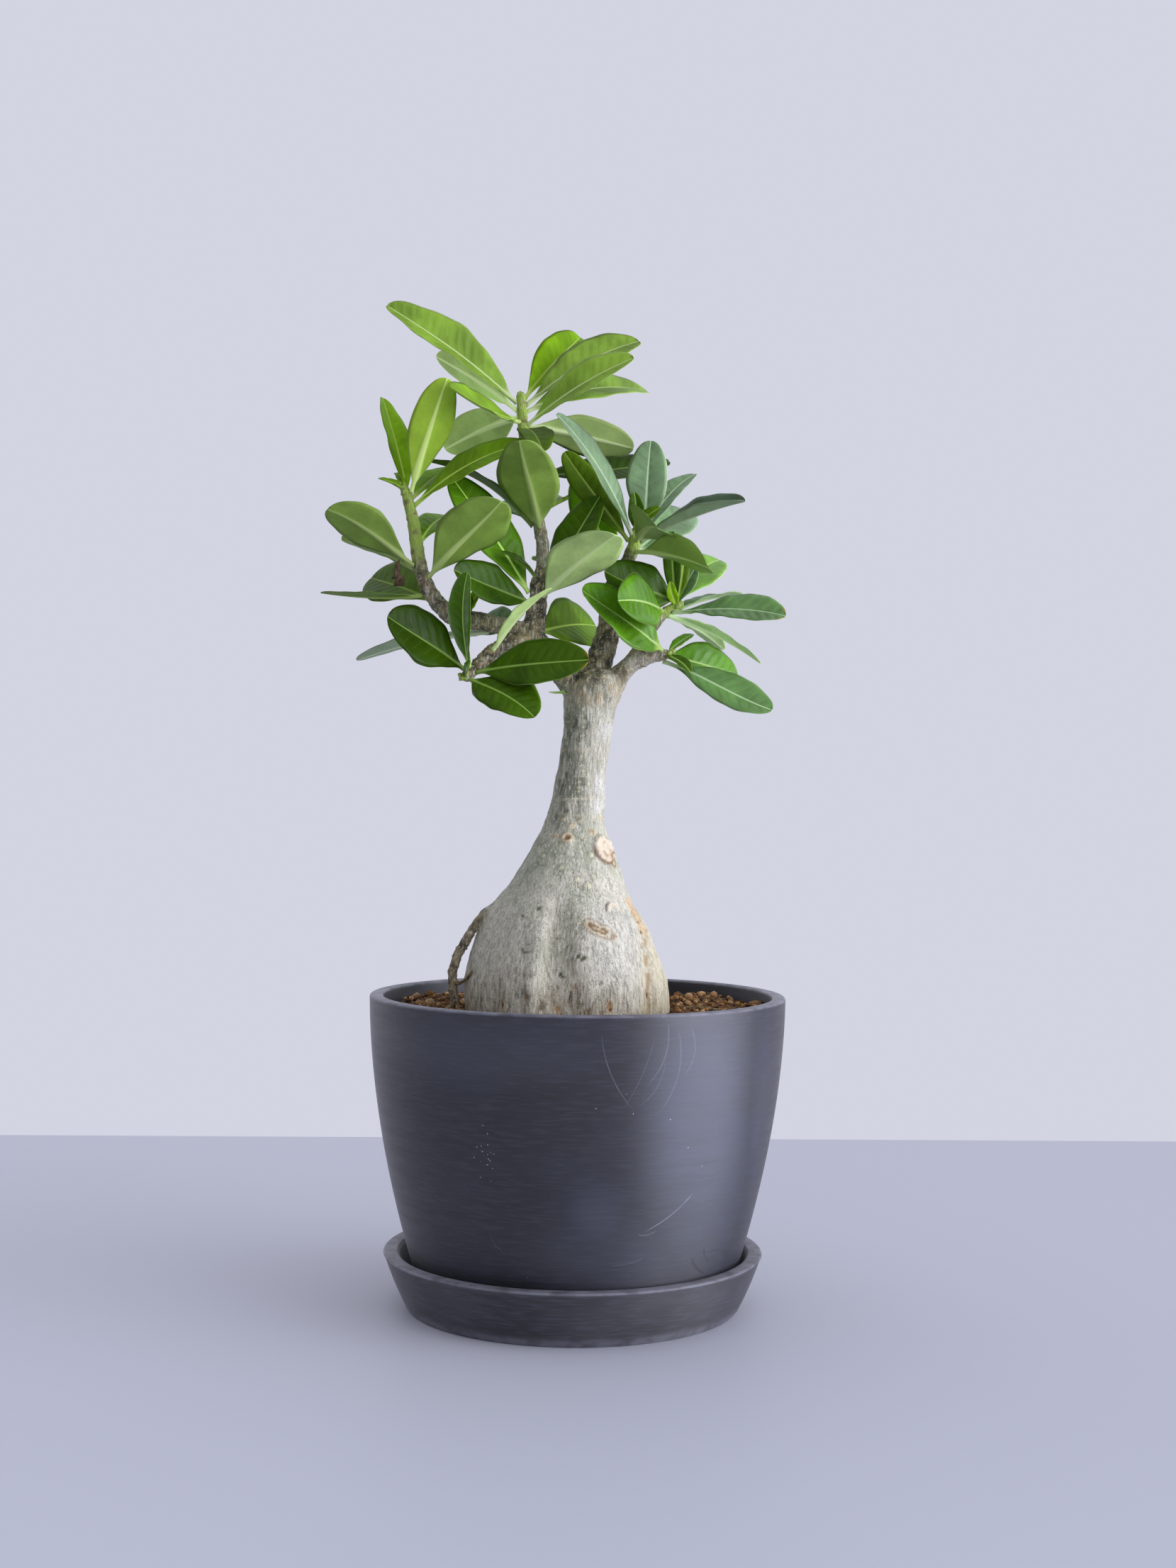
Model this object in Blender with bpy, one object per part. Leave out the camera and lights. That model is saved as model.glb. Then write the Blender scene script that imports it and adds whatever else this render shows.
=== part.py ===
"""Potted desert rose (Adenium): swollen caudex, branches and leaves in a tapered pot on a saucer.

Design sizes are in millimetres and become metres as each mesh is made. Z is up. The origin is on
the pot's axis, on the surface that the saucer stands on. +X is to the plant's right and -Y is its
front.
"""
import math

import bmesh
import bpy
import numpy as np
from mathutils import Matrix, Vector

MM = 0.001

# Steps around every turned piece; the pot, the soil and the caudex share them, so they nest evenly.
STEPS = 48
# Clearance between two pieces that rest on each other.
GAP = 0.3
# Corners of a turned piece closer than this are one corner.
MERGE_DISTANCE = 0.003
# Faces that meet at more than this angle (degrees) keep a sharp edge.
SHARP_ANGLE = 40

# Pot: a tapered cup whose side curves in faster towards the foot.
POT_RIM_RADIUS = 85.0
POT_FOOT_RADIUS = 62.8
POT_TOP = 126.5
POT_WALL = 5.5
POT_FLOOR = 5.0
POT_CURVE = 1.8
POT_FOOT_ROUND = 2.5
POT_RIM_ROUND = 1.0
POT_CORNER = 4.0
POT_SIDE_RINGS = 6
POT_INNER_RINGS = 6
DRAIN_RADIUS = 8.0

# Saucer: a shallow dish with a thick flared wall, standing a little to the left of the pot's axis.
SAUCER_RIM_RADIUS = 77.3
SAUCER_BASE_RADIUS = 67.7
SAUCER_HEIGHT = 22.7
SAUCER_WALL = 6.0
SAUCER_FLOOR = 4.7
SAUCER_ROUND = 1.2
SAUCER_CORNER = 1.5
SAUCER_BASE_WALL = 2.6
# The wall's outer side bends at this share of its height, this far inside the rim.
SAUCER_BEND = 0.6
SAUCER_BEND_INSET = 3.0
SAUCER_CENTRE_X = -1.0

POT_BOTTOM = SAUCER_FLOOR + GAP

# Soil: level between mounds, each (x, y, height, spread).
SOIL_LEVEL = 119.0
SOIL_CLEARANCE = 0.4
SOIL_MOUNDS = [(54, 36, 3.5, 20), (-58, 30, 3.0, 20), (0, 58, 2.0, 30)]
SOIL_RIPPLE = 0.4
SOIL_RIPPLE_X = 5.3
SOIL_RIPPLE_Y = 4.7
SOIL_RIPPLE_PHASE = 1.0
SOIL_RINGS = 5

# Caudex and trunk: (height, centre x, half width), from the buried crown up to the first fork.
TRUNK = [
    (90, -4, 24), (95, -4, 33), (103, -4, 39), (112, -4, 41.5), (121, -4, 42), (133, -4.5, 41.5),
    (143, -5.5, 38.3), (150, -5.6, 36), (157, -5.8, 32.8), (164, -6.4, 28.6), (171, -5, 23.9),
    (178, -3.8, 20.8), (185, -3.1, 17.4), (192, -2.7, 13.9), (199, -1.8, 11.9), (206, -0.6, 11),
    (220, 1, 10), (234, 2.9, 10), (244, 3.9, 10.8), (252, 5.2, 12), (257, 5.6, 10.5), (260, 5.6, 6),
]
TRUNK_BOTTOM = 88.0
TRUNK_DOME = 261.0
TRUNK_DEPTH = 0.95
# Folds down the caudex: (angle around it, depth, half angle). -90 degrees is the front.
FOLDS = [(-92, 3.2, 11), (-38, 2.0, 9), (-140, 1.2, 14), (20, 1.5, 12), (75, 2.6, 13), (135, 2.0, 12)]
FOLDS_TOP = 172.0
FOLDS_FADE = 30.0

# Limbs: points (x, y, z, radius) from inside the parent to the tip.
LIMBS = {
    "left_limb": [
        (3, 0, 247, 7), (-4, -1, 255, 6.4), (-12, -4, 264, 5.4), (-20, -6, 273, 5.2),
        (-18, -5, 283, 4.2), (-18, -4, 291, 3.5), (-16.5, -4, 300, 3),
    ],
    "leader": [
        (-18, -4, 289, 3), (-16, -4, 305, 2.8), (-17.5, -4, 317, 2.6), (-21, -3, 333, 2.4),
        (-23.5, -2, 347, 2.2), (-25, -1, 360, 2.3), (-26, 0, 373, 1.9),
    ],
    "left_branch": [
        (-19, -6, 274, 4.2), (-29, -7, 276, 3.8), (-38, -8, 278, 3.7), (-52, -9, 280, 3.6),
        (-59, -9, 286, 3.5), (-64, -9, 294, 3.2), (-66.5, -8, 303, 2.9), (-69, -7, 318, 2.6),
        (-72.5, -5, 332, 2.1),
    ],
    "low_shoot": [
        (-19, -6, 272, 4.2), (-30, -10, 269.5, 3.6), (-38, -14, 264, 3), (-46.5, -18, 254.5, 2.2),
    ],
    "centre_limb": [
        (5, 1, 247, 7), (6, 3, 257, 6), (8, 5, 265, 5.6), (10.5, 6, 273, 5.2), (12, 8, 285, 4.5),
        (13.5, 8, 296, 3.9), (18, 8, 304, 3.3), (21.5, 7, 312, 2.8), (22.5, 7, 319, 2.2),
    ],
    "right_limb": [
        (9, 0, 244, 5.6), (13.5, 0, 253, 4.7), (17, -2, 259.5, 4.1), (22.5, -4, 263.5, 3.8),
        (29, -6, 265.5, 3.1), (35, -8, 266, 2.1),
    ],
    "right_shoot": [
        (22, -4, 264, 3.2), (27, -1, 275.5, 3), (33, 1, 283, 2.6), (39, 2, 286.5, 2),
    ],
    "aerial_root": [
        (-33, -4, 163, 1.6), (-40.5, -5, 157.5, 1.9), (-45, -6, 149.5, 1.9), (-49, -6, 143, 2),
        (-51, -6, 137, 2), (-51, -6, 130, 1.9), (-50, -6, 122, 1.7),
    ],
}
LIMB_SIDES = 10
LIMB_STEP = 7.0
# Height of a limb's domed tip, as a share of its radius there.
LIMB_DOME = 0.6
# A direction that no limb runs along, to set off each tube's first ring.
LIMB_ASIDE = (0.3, 1.0, 0.2)
# Points between two given points of a smooth curve.
CURVE_SAMPLES = 24

# Leaves: each grows from a limb, `drop` below its tip, to its own tip.
# (drop, leaf tip (x, y, z), width, way that its upper face looks, arch, fold in degrees)
LEAVES = {
    "crown": ("leader", [
        (3, (-81, -8, 407), 23, (0.5, -1, 0.8), 3, 28),
        (6, (-63, 25, 394), 17, (0.3, 0.6, 0.8), 2, 12),
        (1, (-2, 35, 405), 25, (-0.3, -1, 0), 3, 25),
        (4, (23, 15, 399), 20, (-0.4, -1, 0.8), 4, 20),
        (13, (20, -20, 384), 18, (-0.4, -1, 0.6), 3, 22),
        (7, (27, 30, 381), 19, (-0.2, -1, 0.7), 6, 15),
        (13.5, (21, 10, 353), 18, (0.3, 1, 0.5), 2, 10),
        (12, (-53, -30, 369), 15, (0.1, -0.5, 1), -1, 15),
        (9, (-59, 28, 355), 20, (-0.2, 1, 0.5), 3, 10),
        (16, (-16, -30, 344), 15, (0, -0.5, 1), 3, 15),
    ]),
    "left": ("left_branch", [
        (1.5, (-85, 20, 375), 15, (0.5, -0.7, 0.1), 2, 20),
        (1, (-55, -20, 375), 21, (-0.3, 1, 0.4), 2, 12),
        (3, (-53, 25, 347), 14, (0, -0.4, 1), 2, 12),
        (7, (-22, -16, 350), 15, (-0.3, -1, 0.8), 4.5, 15),
        (22, (-56, 28, 326), 14, (0, -0.3, 1), 3, 12),
        (31, (-102, -25, 321), 21, (0.3, 1, 0.5), 2, 10),
        (32, (-100, 8, 313), 17, (0, 0.5, 1), 2, 10),
        (46, (-90, 30, 300), 21, (0.1, -1, 0.4), 2, 12),
        (43, (-106, -12, 289), 17, (0, 0.1, 1), -1, 6),
        (38, (-32, -38, 323), 26, (-0.4, 1, 0.4), 3, 12),
        (72, (-93, 5, 263), 15, (0, 0.1, 1), 2, 10),
    ]),
    "low_left": ("low_shoot", [
        (2, (-76, -40, 277), 24, (0.2, -1, 0.5), 2, 12),
        (4.5, (-45, -36, 295), 16, (-0.8, -0.6, 0.2), 2, 15),
        (5, (3, -38, 261), 22, (0, -1, 0.6), 2, 12),
        (0.5, (-18, -42, 238), 22, (0.2, -1, 0.5), 2, 12),
        (16, (-12, -38, 289), 14, (-0.7, 0.3, 0.6), 2, 12),
    ]),
    "middle": ("left_limb", [
        (14, (-51, -28, 297), 15, (0.1, -1, 0.8), 0, 15),
        (9, (-54, -4, 338), 19, (0.6, -1, 0.6), 2, 12),
        (6, (7, -2, 331), 18, (-0.5, -1, 0.4), 2, 12),
        (11, (13, -40, 310), 24, (-0.4, 1, 0.4), 3, 10),
        (25, (6, 35, 281), 19, (0, -1, 0.6), 2, 12),
        (24, (-48, 28, 278), 17, (0, -1, 0.5), 2, 12),
    ]),
    "stem": ("leader", [
        (56, (-25, -43, 346), 27, (0, 0.8, 0.7), 3, 10),
        (54, (-65, 6, 346), 16, (-0.2, 0.1, 1), 5, 15),
        (55, (-36, 32, 333), 16, (0, -0.5, 1), 3, 12),
        (34, (37, 34, 352), 15, (0, -1, 0.8), -2, 12),
        (48, (-8, 42, 337), 15, (0, -0.6, 0.8), 2, 12),
    ]),
    "upper_right": ("centre_limb", [
        (2, (-11, -25, 360), 17, (0.7, -0.7, 0.4), 3, 12),
        (5, (-8, 3, 350), 13, (0.3, -1, 0.2), 1, 12),
        (0.5, (28, 8, 356), 16, (0, -1, 0.2), 2, 10),
        (4.5, (66, -12, 328), 15, (0, -0.3, 1), 2, 35),
        (4, (48, 36, 347), 13, (-0.3, -0.5, 1), 3, 15),
        (9, (47, 38, 330), 17, (0, -1, 0.4), 3, 12),
        (5, (30, -30, 314), 15, (0.2, -0.3, 1), 3, 15),
        (9, (50, -28, 299), 15, (0.2, 0.3, 1), 2, 20),
        (20, (-1, 24, 345), 18, (0, -1, 0.2), 1, 12),
    ]),
    "right": ("right_shoot", [
        (1, (59, 36, 310), 17, (-0.3, -1, 0.4), 3, 12),
        (0.5, (9, -13, 299), 18, (0, -1, 0.3), 1, 12),
        (7, (14, -41, 284), 16, (0, -1, 0.6), 2, 12),
        (2, (82, -18, 281), 16, (0, -0.4, 1), 2, 12),
        (1.5, (68, 28, 294), 12, (0, -0.1, 1), 2, 15),
        (4, (60, 18, 270), 11, (0, 0.2, 1), 2, 15),
        (4, (73, -12, 262), 13, (0.3, 0.1, 1), 2, 15),
    ]),
    "low_right": ("right_limb", [
        (2, (0, -32, 289), 22, (0.3, -1, 0.6), 2, 12),
        (1.5, (66, 18, 259), 20, (0, -1, 0.5), 2, 12),
        (1, (77, -18, 243), 17, (0, -1, 0.5), 3, 12),
    ]),
}
# Where a leaf is widest, as a share of its length, and where its rings lie.
LEAF_WIDEST = 0.57
LEAF_STATIONS = (0.0, 0.1, 0.22, 0.36, 0.5, 0.64, 0.77, 0.88, 0.96)
# The outline's power at the stalk, and its fall towards the tip, which rounds the tip.
LEAF_POWER = 0.95
LEAF_POWER_FALL = 0.4
STALK_HALF_WIDTH = 0.9
LEAF_CREASE = 0.25
MIDRIB_AT_STALK = 1.2
MIDRIB_AT_TIP = 0.5
# Share of the midrib's depth that a slanting leaf turns towards its limb.
MIDRIB_LEAN = 0.8
# Spacing of the points along a limb that leaves are seated by.
SEAT_STEP = 1.0

# Colours (sRGB), roughness.
FINISHES = {
    "pot": ("4B4D5A", 0.55),
    "saucer": ("4A4A50", 0.6),
    "soil": ("5E412A", 0.95),
    "wood": ("B9B6A2", 0.8),
    "young_leaf": ("7E9E3A", 0.4),
    "leaf": ("3E6B2A", 0.35),
}


def clear_scene():
    """Empty the file of whatever it opened with."""
    for item in list(bpy.data.objects):
        bpy.data.objects.remove(item, do_unlink=True)


def linear(channel):
    """One sRGB channel, 0 to 1, as linear light."""
    return channel / 12.92 if channel <= 0.04045 else ((channel + 0.055) / 1.055) ** 2.4


def material(name):
    """A plain Principled material in one of the finishes."""
    made = bpy.data.materials.get(name)
    if made:
        return made
    code, roughness = FINISHES[name]
    made = bpy.data.materials.new(name)
    made.use_nodes = True
    shader = made.node_tree.nodes["Principled BSDF"]
    colour = [linear(int(code[i:i + 2], 16) / 255) for i in (0, 2, 4)]
    shader.inputs["Base Color"].default_value = (*colour, 1.0)
    shader.inputs["Roughness"].default_value = roughness
    shader.inputs["Metallic"].default_value = 0.0
    return made


# ---- Solids from outlines and rings ----

def add_piece(name, shape, finish, smooth=True):
    """Link a finished bmesh as an object of the plant, its faces turned outwards."""
    bmesh.ops.recalc_face_normals(shape, faces=shape.faces)
    # A deeply folded leaf can come out of that inside out, which its signed volume shows.
    if shape.calc_volume(signed=True) < 0:
        bmesh.ops.reverse_faces(shape, faces=shape.faces)
    mesh = bpy.data.meshes.new(name)
    shape.to_mesh(mesh)
    shape.free()
    if smooth:
        mesh.shade_smooth()
        mesh.set_sharp_from_angle(angle=math.radians(SHARP_ANGLE))
    mesh.materials.append(material(finish))
    piece = bpy.data.objects.new(name, mesh)
    piece.parent = bpy.data.objects["potted_plant"]
    bpy.context.scene.collection.objects.link(piece)
    return piece


def turn(name, outline, finish, closed):
    """Spin an outline of (radius, height) around Z; closed joins its ends, for a hollow axis."""
    shape = bmesh.new()
    corners = [shape.verts.new(Vector((radius, 0, height)) * MM) for radius, height in outline]
    edges = [shape.edges.new(pair) for pair in zip(corners, corners[1:])]
    if closed:
        edges.append(shape.edges.new((corners[-1], corners[0])))
    bmesh.ops.spin(shape, geom=corners + edges, cent=(0, 0, 0), axis=(0, 0, 1),
                   angle=2 * math.pi, steps=STEPS, use_merge=True)
    bmesh.ops.remove_doubles(shape, verts=shape.verts, dist=MERGE_DISTANCE * MM)
    return add_piece(name, shape, finish)


def loft(name, rings, finish, start=None, end=None, smooth=True):
    """Bridge rings of equal count into a closed solid; a start or end point makes that cap a cone."""
    shape = bmesh.new()
    loops = []
    for ring in rings:
        corners = [shape.verts.new(Vector(point) * MM) for point in ring]
        loops.append([shape.edges.new(pair) for pair in zip(corners, corners[1:] + corners[:1])])
    for low, high in zip(loops, loops[1:]):
        bmesh.ops.bridge_loops(shape, edges=low + high)
    for loop, point in ((loops[0], start), (loops[-1], end)):
        cap = bmesh.ops.contextual_create(shape, geom=loop)["faces"]
        if point is not None:
            middle = bmesh.ops.poke(shape, faces=cap)["verts"][0]
            middle.co = Vector(point) * MM
    return add_piece(name, shape, finish, smooth)


def circle(radius, height):
    """A ring around the pot's axis."""
    turns = [2 * math.pi * k / STEPS for k in range(STEPS)]
    return [(radius * math.cos(t), radius * math.sin(t), height) for t in turns]


# ---- Pot and saucer ----

def pot_radius(height):
    """Outer radius of the pot's side at a height."""
    down = (POT_TOP - height) / (POT_TOP - POT_BOTTOM)
    return POT_RIM_RADIUS - (POT_RIM_RADIUS - POT_FOOT_RADIUS) * down ** POT_CURVE


def pot_inner_heights():
    """Heights of the rings down the pot's inner side, from the soil's edge; the soil shares them."""
    return np.linspace(SOIL_LEVEL, POT_BOTTOM + POT_FLOOR + POT_CORNER, POT_INNER_RINGS)


def make_pot():
    """The tapered cup: floor with a drain hole, curved side, flat rim with rounded edges."""
    floor = POT_BOTTOM + POT_FLOOR
    inside = POT_RIM_RADIUS - POT_WALL
    side = np.linspace(POT_BOTTOM + POT_FOOT_ROUND, POT_TOP - POT_RIM_ROUND, POT_SIDE_RINGS + 1)
    outline = [(DRAIN_RADIUS, POT_BOTTOM), (POT_FOOT_RADIUS - POT_FOOT_ROUND, POT_BOTTOM)]
    outline += [(pot_radius(z), z) for z in side]
    outline += [
        (POT_RIM_RADIUS - POT_RIM_ROUND, POT_TOP),
        (inside + POT_RIM_ROUND / 2, POT_TOP),
        (inside, POT_TOP - POT_RIM_ROUND / 2),
    ]
    outline += [(pot_radius(z) - POT_WALL, z) for z in pot_inner_heights()]
    outline += [(pot_radius(floor) - POT_WALL - POT_CORNER, floor), (DRAIN_RADIUS, floor)]
    turn("pot", outline, "pot", closed=True)


def make_saucer():
    """The dish under the pot."""
    inner_base = SAUCER_BASE_RADIUS - SAUCER_BASE_WALL
    inner_rim = SAUCER_RIM_RADIUS - SAUCER_WALL
    outline = [
        (0, 0), (SAUCER_BASE_RADIUS - SAUCER_ROUND, 0), (SAUCER_BASE_RADIUS, SAUCER_ROUND),
        (SAUCER_RIM_RADIUS - SAUCER_BEND_INSET, SAUCER_HEIGHT * SAUCER_BEND),
        (SAUCER_RIM_RADIUS, SAUCER_HEIGHT - SAUCER_ROUND),
        (SAUCER_RIM_RADIUS - SAUCER_ROUND, SAUCER_HEIGHT),
        (inner_rim + SAUCER_ROUND / 2, SAUCER_HEIGHT),
        (inner_rim, SAUCER_HEIGHT - SAUCER_ROUND),
        (inner_base, SAUCER_FLOOR + SAUCER_CORNER),
        (inner_base - SAUCER_CORNER, SAUCER_FLOOR), (0, SAUCER_FLOOR),
    ]
    saucer = turn("saucer", outline, "saucer", closed=False)
    saucer.location.x = SAUCER_CENTRE_X * MM


# ---- Caudex, trunk, limbs and aerial root: one piece of wood ----

def fold_depth(angle, height):
    """How far the folds press into the caudex at an angle (degrees) and height."""
    fade = min(1.0, max(0.0, (FOLDS_TOP - height) / FOLDS_FADE))
    depth = 0.0
    for place, deep, half in FOLDS:
        off = (angle - place + 180) % 360 - 180
        depth += deep * math.exp(-(off / half) ** 2)
    return depth * fade


def trunk_ring(height, centre, half, swell=0.0):
    """One ring of the caudex or trunk; swell moves it outwards."""
    ring = []
    for k in range(STEPS):
        angle = 2 * math.pi * k / STEPS
        reach = half - fold_depth(math.degrees(angle), height) + swell
        ring.append((centre + reach * math.cos(angle), TRUNK_DEPTH * reach * math.sin(angle), height))
    return ring


def curve_through(points, step):
    """Points at about equal steps along a Catmull-Rom curve through (x, y, z, radius) points."""
    given = np.array(points, float)
    ends = np.vstack([2 * given[0] - given[1], given, 2 * given[-1] - given[-2]])
    fine = []
    for a, b, c, d in zip(ends, ends[1:], ends[2:], ends[3:]):
        for t in np.linspace(0, 1, CURVE_SAMPLES, endpoint=False):
            fine.append(0.5 * (2 * b + (c - a) * t + (2 * a - 5 * b + 4 * c - d) * t ** 2
                               + (3 * b - a - 3 * c + d) * t ** 3))
    fine.append(given[-1])
    fine = np.array(fine)
    run = np.r_[0, np.cumsum(np.linalg.norm(np.diff(fine[:, :3], axis=0), axis=1))]
    places = np.linspace(0, run[-1], max(3, round(run[-1] / step) + 1))
    return np.array([[np.interp(p, run, fine[:, i]) for i in range(4)] for p in places])


def make_limb(name, points):
    """One limb: a tapering tube with a domed tip, kept only as a guide for the union."""
    path = curve_through(points, LIMB_STEP)
    centres = path[:, :3]
    ways = np.gradient(centres, axis=0)
    ways /= np.linalg.norm(ways, axis=1)[:, None]
    side = np.cross(ways[0], LIMB_ASIDE)
    turns = [2 * math.pi * k / LIMB_SIDES for k in range(LIMB_SIDES)]
    rings = []
    for centre, way, radius in zip(centres, ways, path[:, 3]):
        side = side - way * side.dot(way)
        side /= np.linalg.norm(side)
        other = np.cross(way, side)
        rings.append([centre + radius * (math.cos(t) * side + math.sin(t) * other) for t in turns])
    tip = centres[-1] + ways[-1] * path[-1, 3] * LIMB_DOME
    limb = loft(name, rings, "wood", end=tip)
    limb.hide_render = True
    limb.display_type = "WIRE"
    return limb


def make_wood():
    """Caudex and trunk with every limb united to it."""
    rings = [trunk_ring(*row) for row in TRUNK]
    bottom = (TRUNK[0][1], 0, TRUNK_BOTTOM)
    top = (TRUNK[-1][1], 0, TRUNK_DOME)
    wood = loft("adenium_wood", rings, "wood", start=bottom, end=top)
    for name, points in LIMBS.items():
        union = wood.modifiers.new(name, "BOOLEAN")
        union.operation = "UNION"
        union.solver = "EXACT"
        union.object = make_limb(name, points)


# ---- Soil ----

def soil_height(x, y):
    """Height of the soil's surface."""
    height = SOIL_LEVEL
    for mound_x, mound_y, rise, spread in SOIL_MOUNDS:
        height += rise * math.exp(-((x - mound_x) ** 2 + (y - mound_y) ** 2) / spread ** 2)
    wave = math.sin(x / SOIL_RIPPLE_X + SOIL_RIPPLE_PHASE) * math.sin(y / SOIL_RIPPLE_Y)
    return height + SOIL_RIPPLE * wave


def soil_radius(height):
    """Radius of the soil where it lies along the pot's inner side."""
    return pot_radius(height) - POT_WALL - SOIL_CLEARANCE


def soil_surface(inner, outer):
    """Rings of the surface, from the caudex's edge to the pot's; the last one is level."""
    rings = []
    for share in np.linspace(0, 1, SOIL_RINGS):
        ring = []
        for near, far in zip(inner, outer):
            x = near[0] + (far[0] - near[0]) * share
            y = near[1] + (far[1] - near[1]) * share
            ring.append((x, y, SOIL_LEVEL if share == 1 else soil_height(x, y)))
        rings.append(ring)
    return rings


def make_soil():
    """The soil: a plug in the pot with a pocket for the buried part of the caudex."""
    buried = [row for row in TRUNK if row[0] < SOIL_LEVEL]
    rings = [trunk_ring(z - GAP, centre, half, SOIL_CLEARANCE) for z, centre, half in buried]
    edge = trunk_ring(SOIL_LEVEL, buried[-1][1], TRUNK[len(buried)][2], SOIL_CLEARANCE)
    rings += soil_surface(edge, circle(soil_radius(SOIL_LEVEL), SOIL_LEVEL))
    rings += [circle(soil_radius(z), z) for z in pot_inner_heights()[1:]]
    floor = POT_BOTTOM + POT_FLOOR + GAP
    rings.append(circle(soil_radius(floor) - POT_CORNER, floor))
    pocket = (TRUNK[0][1], 0, TRUNK_BOTTOM - GAP)
    loft("soil", rings, "soil", start=pocket, end=(0, 0, floor))


# ---- Leaves ----

def leaf_half_width(share, width):
    """Half width along a spoon-shaped leaf: a narrow stalk, widest past the middle, a round tip."""
    power = math.log(0.5) / math.log(LEAF_WIDEST)
    blade = math.sin(math.pi * share ** power) ** (LEAF_POWER - LEAF_POWER_FALL * share)
    return max(STALK_HALF_WIDTH * (1 - share), width / 2 * blade)


def leaf_seat(path, drop, towards):
    """Where a leaf leaves its limb: just off the surface, on the side that the leaf grows to."""
    run = np.r_[0, np.cumsum(np.linalg.norm(np.diff(path[::-1, :3], axis=0), axis=1))]
    here = np.array([np.interp(drop, run, path[::-1, i]) for i in range(4)])
    ahead = np.array([np.interp(drop - SEAT_STEP, run, path[::-1, i]) for i in range(3)])
    behind = np.array([np.interp(drop + SEAT_STEP, run, path[::-1, i]) for i in range(3)])
    way = (ahead - behind) / np.linalg.norm(ahead - behind)
    out = np.array(towards, float) - here[:3]
    along = out / np.linalg.norm(out)
    out -= way * out.dot(way)
    out /= np.linalg.norm(out)
    slant = math.sqrt(max(0.0, 1 - along.dot(out) ** 2))
    return here[:3] + out * (here[3] + GAP + MIDRIB_LEAN * MIDRIB_AT_STALK * slant)


def leaf_rings(length, width, arch, fold):
    """Rings of a leaf that lies along X with its upper face to +Z: edge, crease, edge, midrib."""
    rings = []
    for share in LEAF_STATIONS:
        middle = arch * 4 * share * (1 - share)
        half = leaf_half_width(share, width)
        across = half * math.cos(math.radians(fold))
        edge = middle + half * math.sin(math.radians(fold))
        keel = MIDRIB_AT_STALK + (MIDRIB_AT_TIP - MIDRIB_AT_STALK) * share
        rings.append([
            (length * share, across, edge), (length * share, 0, middle + LEAF_CREASE),
            (length * share, -across, edge), (length * share, 0, middle - keel),
        ])
    return rings


def make_leaf(name, base, tip, width, face, arch, fold, finish):
    """One leaf: a thin folded blade with a midrib below, arched from its base to its tip."""
    reach = Vector(tip) - Vector(base)
    along = reach.normalized()
    up = Vector(face)
    up = (up - along * up.dot(along)).normalized()
    rings = leaf_rings(reach.length, width, arch, fold)
    leaf = loft(name, rings, finish, end=(reach.length, 0, 0), smooth=False)
    axes = Matrix((along, up.cross(along), up)).transposed()
    leaf.rotation_euler = axes.to_euler()
    leaf.location = Vector(base) * MM


def make_leaves():
    """Every leaf, shoot by shoot."""
    for shoot, (limb, rows) in LEAVES.items():
        path = curve_through(LIMBS[limb], SEAT_STEP)
        finish = "young_leaf" if shoot == "crown" else "leaf"
        for number, (drop, tip, width, face, arch, fold) in enumerate(rows, 1):
            base = leaf_seat(path, drop, tip)
            make_leaf(f"leaf_{shoot}_{number:02d}", base, tip, width, face, arch, fold, finish)


def main():
    """The whole plant, from the saucer up."""
    clear_scene()
    plant = bpy.data.objects.new("potted_plant", None)
    bpy.context.scene.collection.objects.link(plant)
    make_saucer()
    make_pot()
    make_soil()
    make_wood()
    make_leaves()


main()
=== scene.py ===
"""Looks of a potted desert rose (Adenium): bark, leaves and soil in a moulded pot on a saucer.

Design sizes are in millimetres and become metres as each mesh is made. Every piece takes its place
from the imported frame. The front of the plant is towards -Y.
"""
import math
from functools import partial

import bmesh
import bpy
import numpy as np
from mathutils import Matrix, Vector


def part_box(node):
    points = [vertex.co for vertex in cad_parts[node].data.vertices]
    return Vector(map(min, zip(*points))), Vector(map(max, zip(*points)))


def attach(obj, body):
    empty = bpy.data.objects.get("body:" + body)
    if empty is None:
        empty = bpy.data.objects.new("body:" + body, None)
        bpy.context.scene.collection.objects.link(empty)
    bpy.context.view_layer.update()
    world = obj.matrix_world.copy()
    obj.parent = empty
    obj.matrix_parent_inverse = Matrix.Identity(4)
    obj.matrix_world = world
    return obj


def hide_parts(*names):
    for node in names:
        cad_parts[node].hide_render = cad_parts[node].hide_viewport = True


bl_info = {
    "name": "Potted Desert Rose",
    "version": (1, 0, 0),
    "blender": (4, 5, 0),
    "location": "3D View > Sidebar > Desert Rose",
    "description": "Builds the bark, leaves, soil, pot and saucer of a potted desert rose",
    "category": "Add Mesh",
}

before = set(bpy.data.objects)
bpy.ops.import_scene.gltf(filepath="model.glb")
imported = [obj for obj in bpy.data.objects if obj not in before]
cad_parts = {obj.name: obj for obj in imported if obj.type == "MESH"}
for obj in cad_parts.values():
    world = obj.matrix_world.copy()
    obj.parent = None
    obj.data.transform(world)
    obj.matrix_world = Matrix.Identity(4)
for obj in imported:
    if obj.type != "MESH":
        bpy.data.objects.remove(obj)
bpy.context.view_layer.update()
MM = 0.001
FULL_TURN = 2 * math.pi
# A way that no limb, stalk or rootlet runs along.
PATH_ASIDE = (0.3, 1.0, 0.2)


# ---- Numbers, colours and noise ----

def linear(code):
    """An sRGB hex colour as linear red, green and blue."""
    channels = np.array([int(code[i:i + 2], 16) for i in (0, 2, 4)]) / 255
    return np.where(channels <= 0.04045, channels / 12.92, ((channels + 0.055) / 1.055) ** 2.4)


def rgba(code):
    """An sRGB hex colour as four linear numbers for a socket."""
    return (*(float(c) for c in linear(code)), 1.0)


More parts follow.
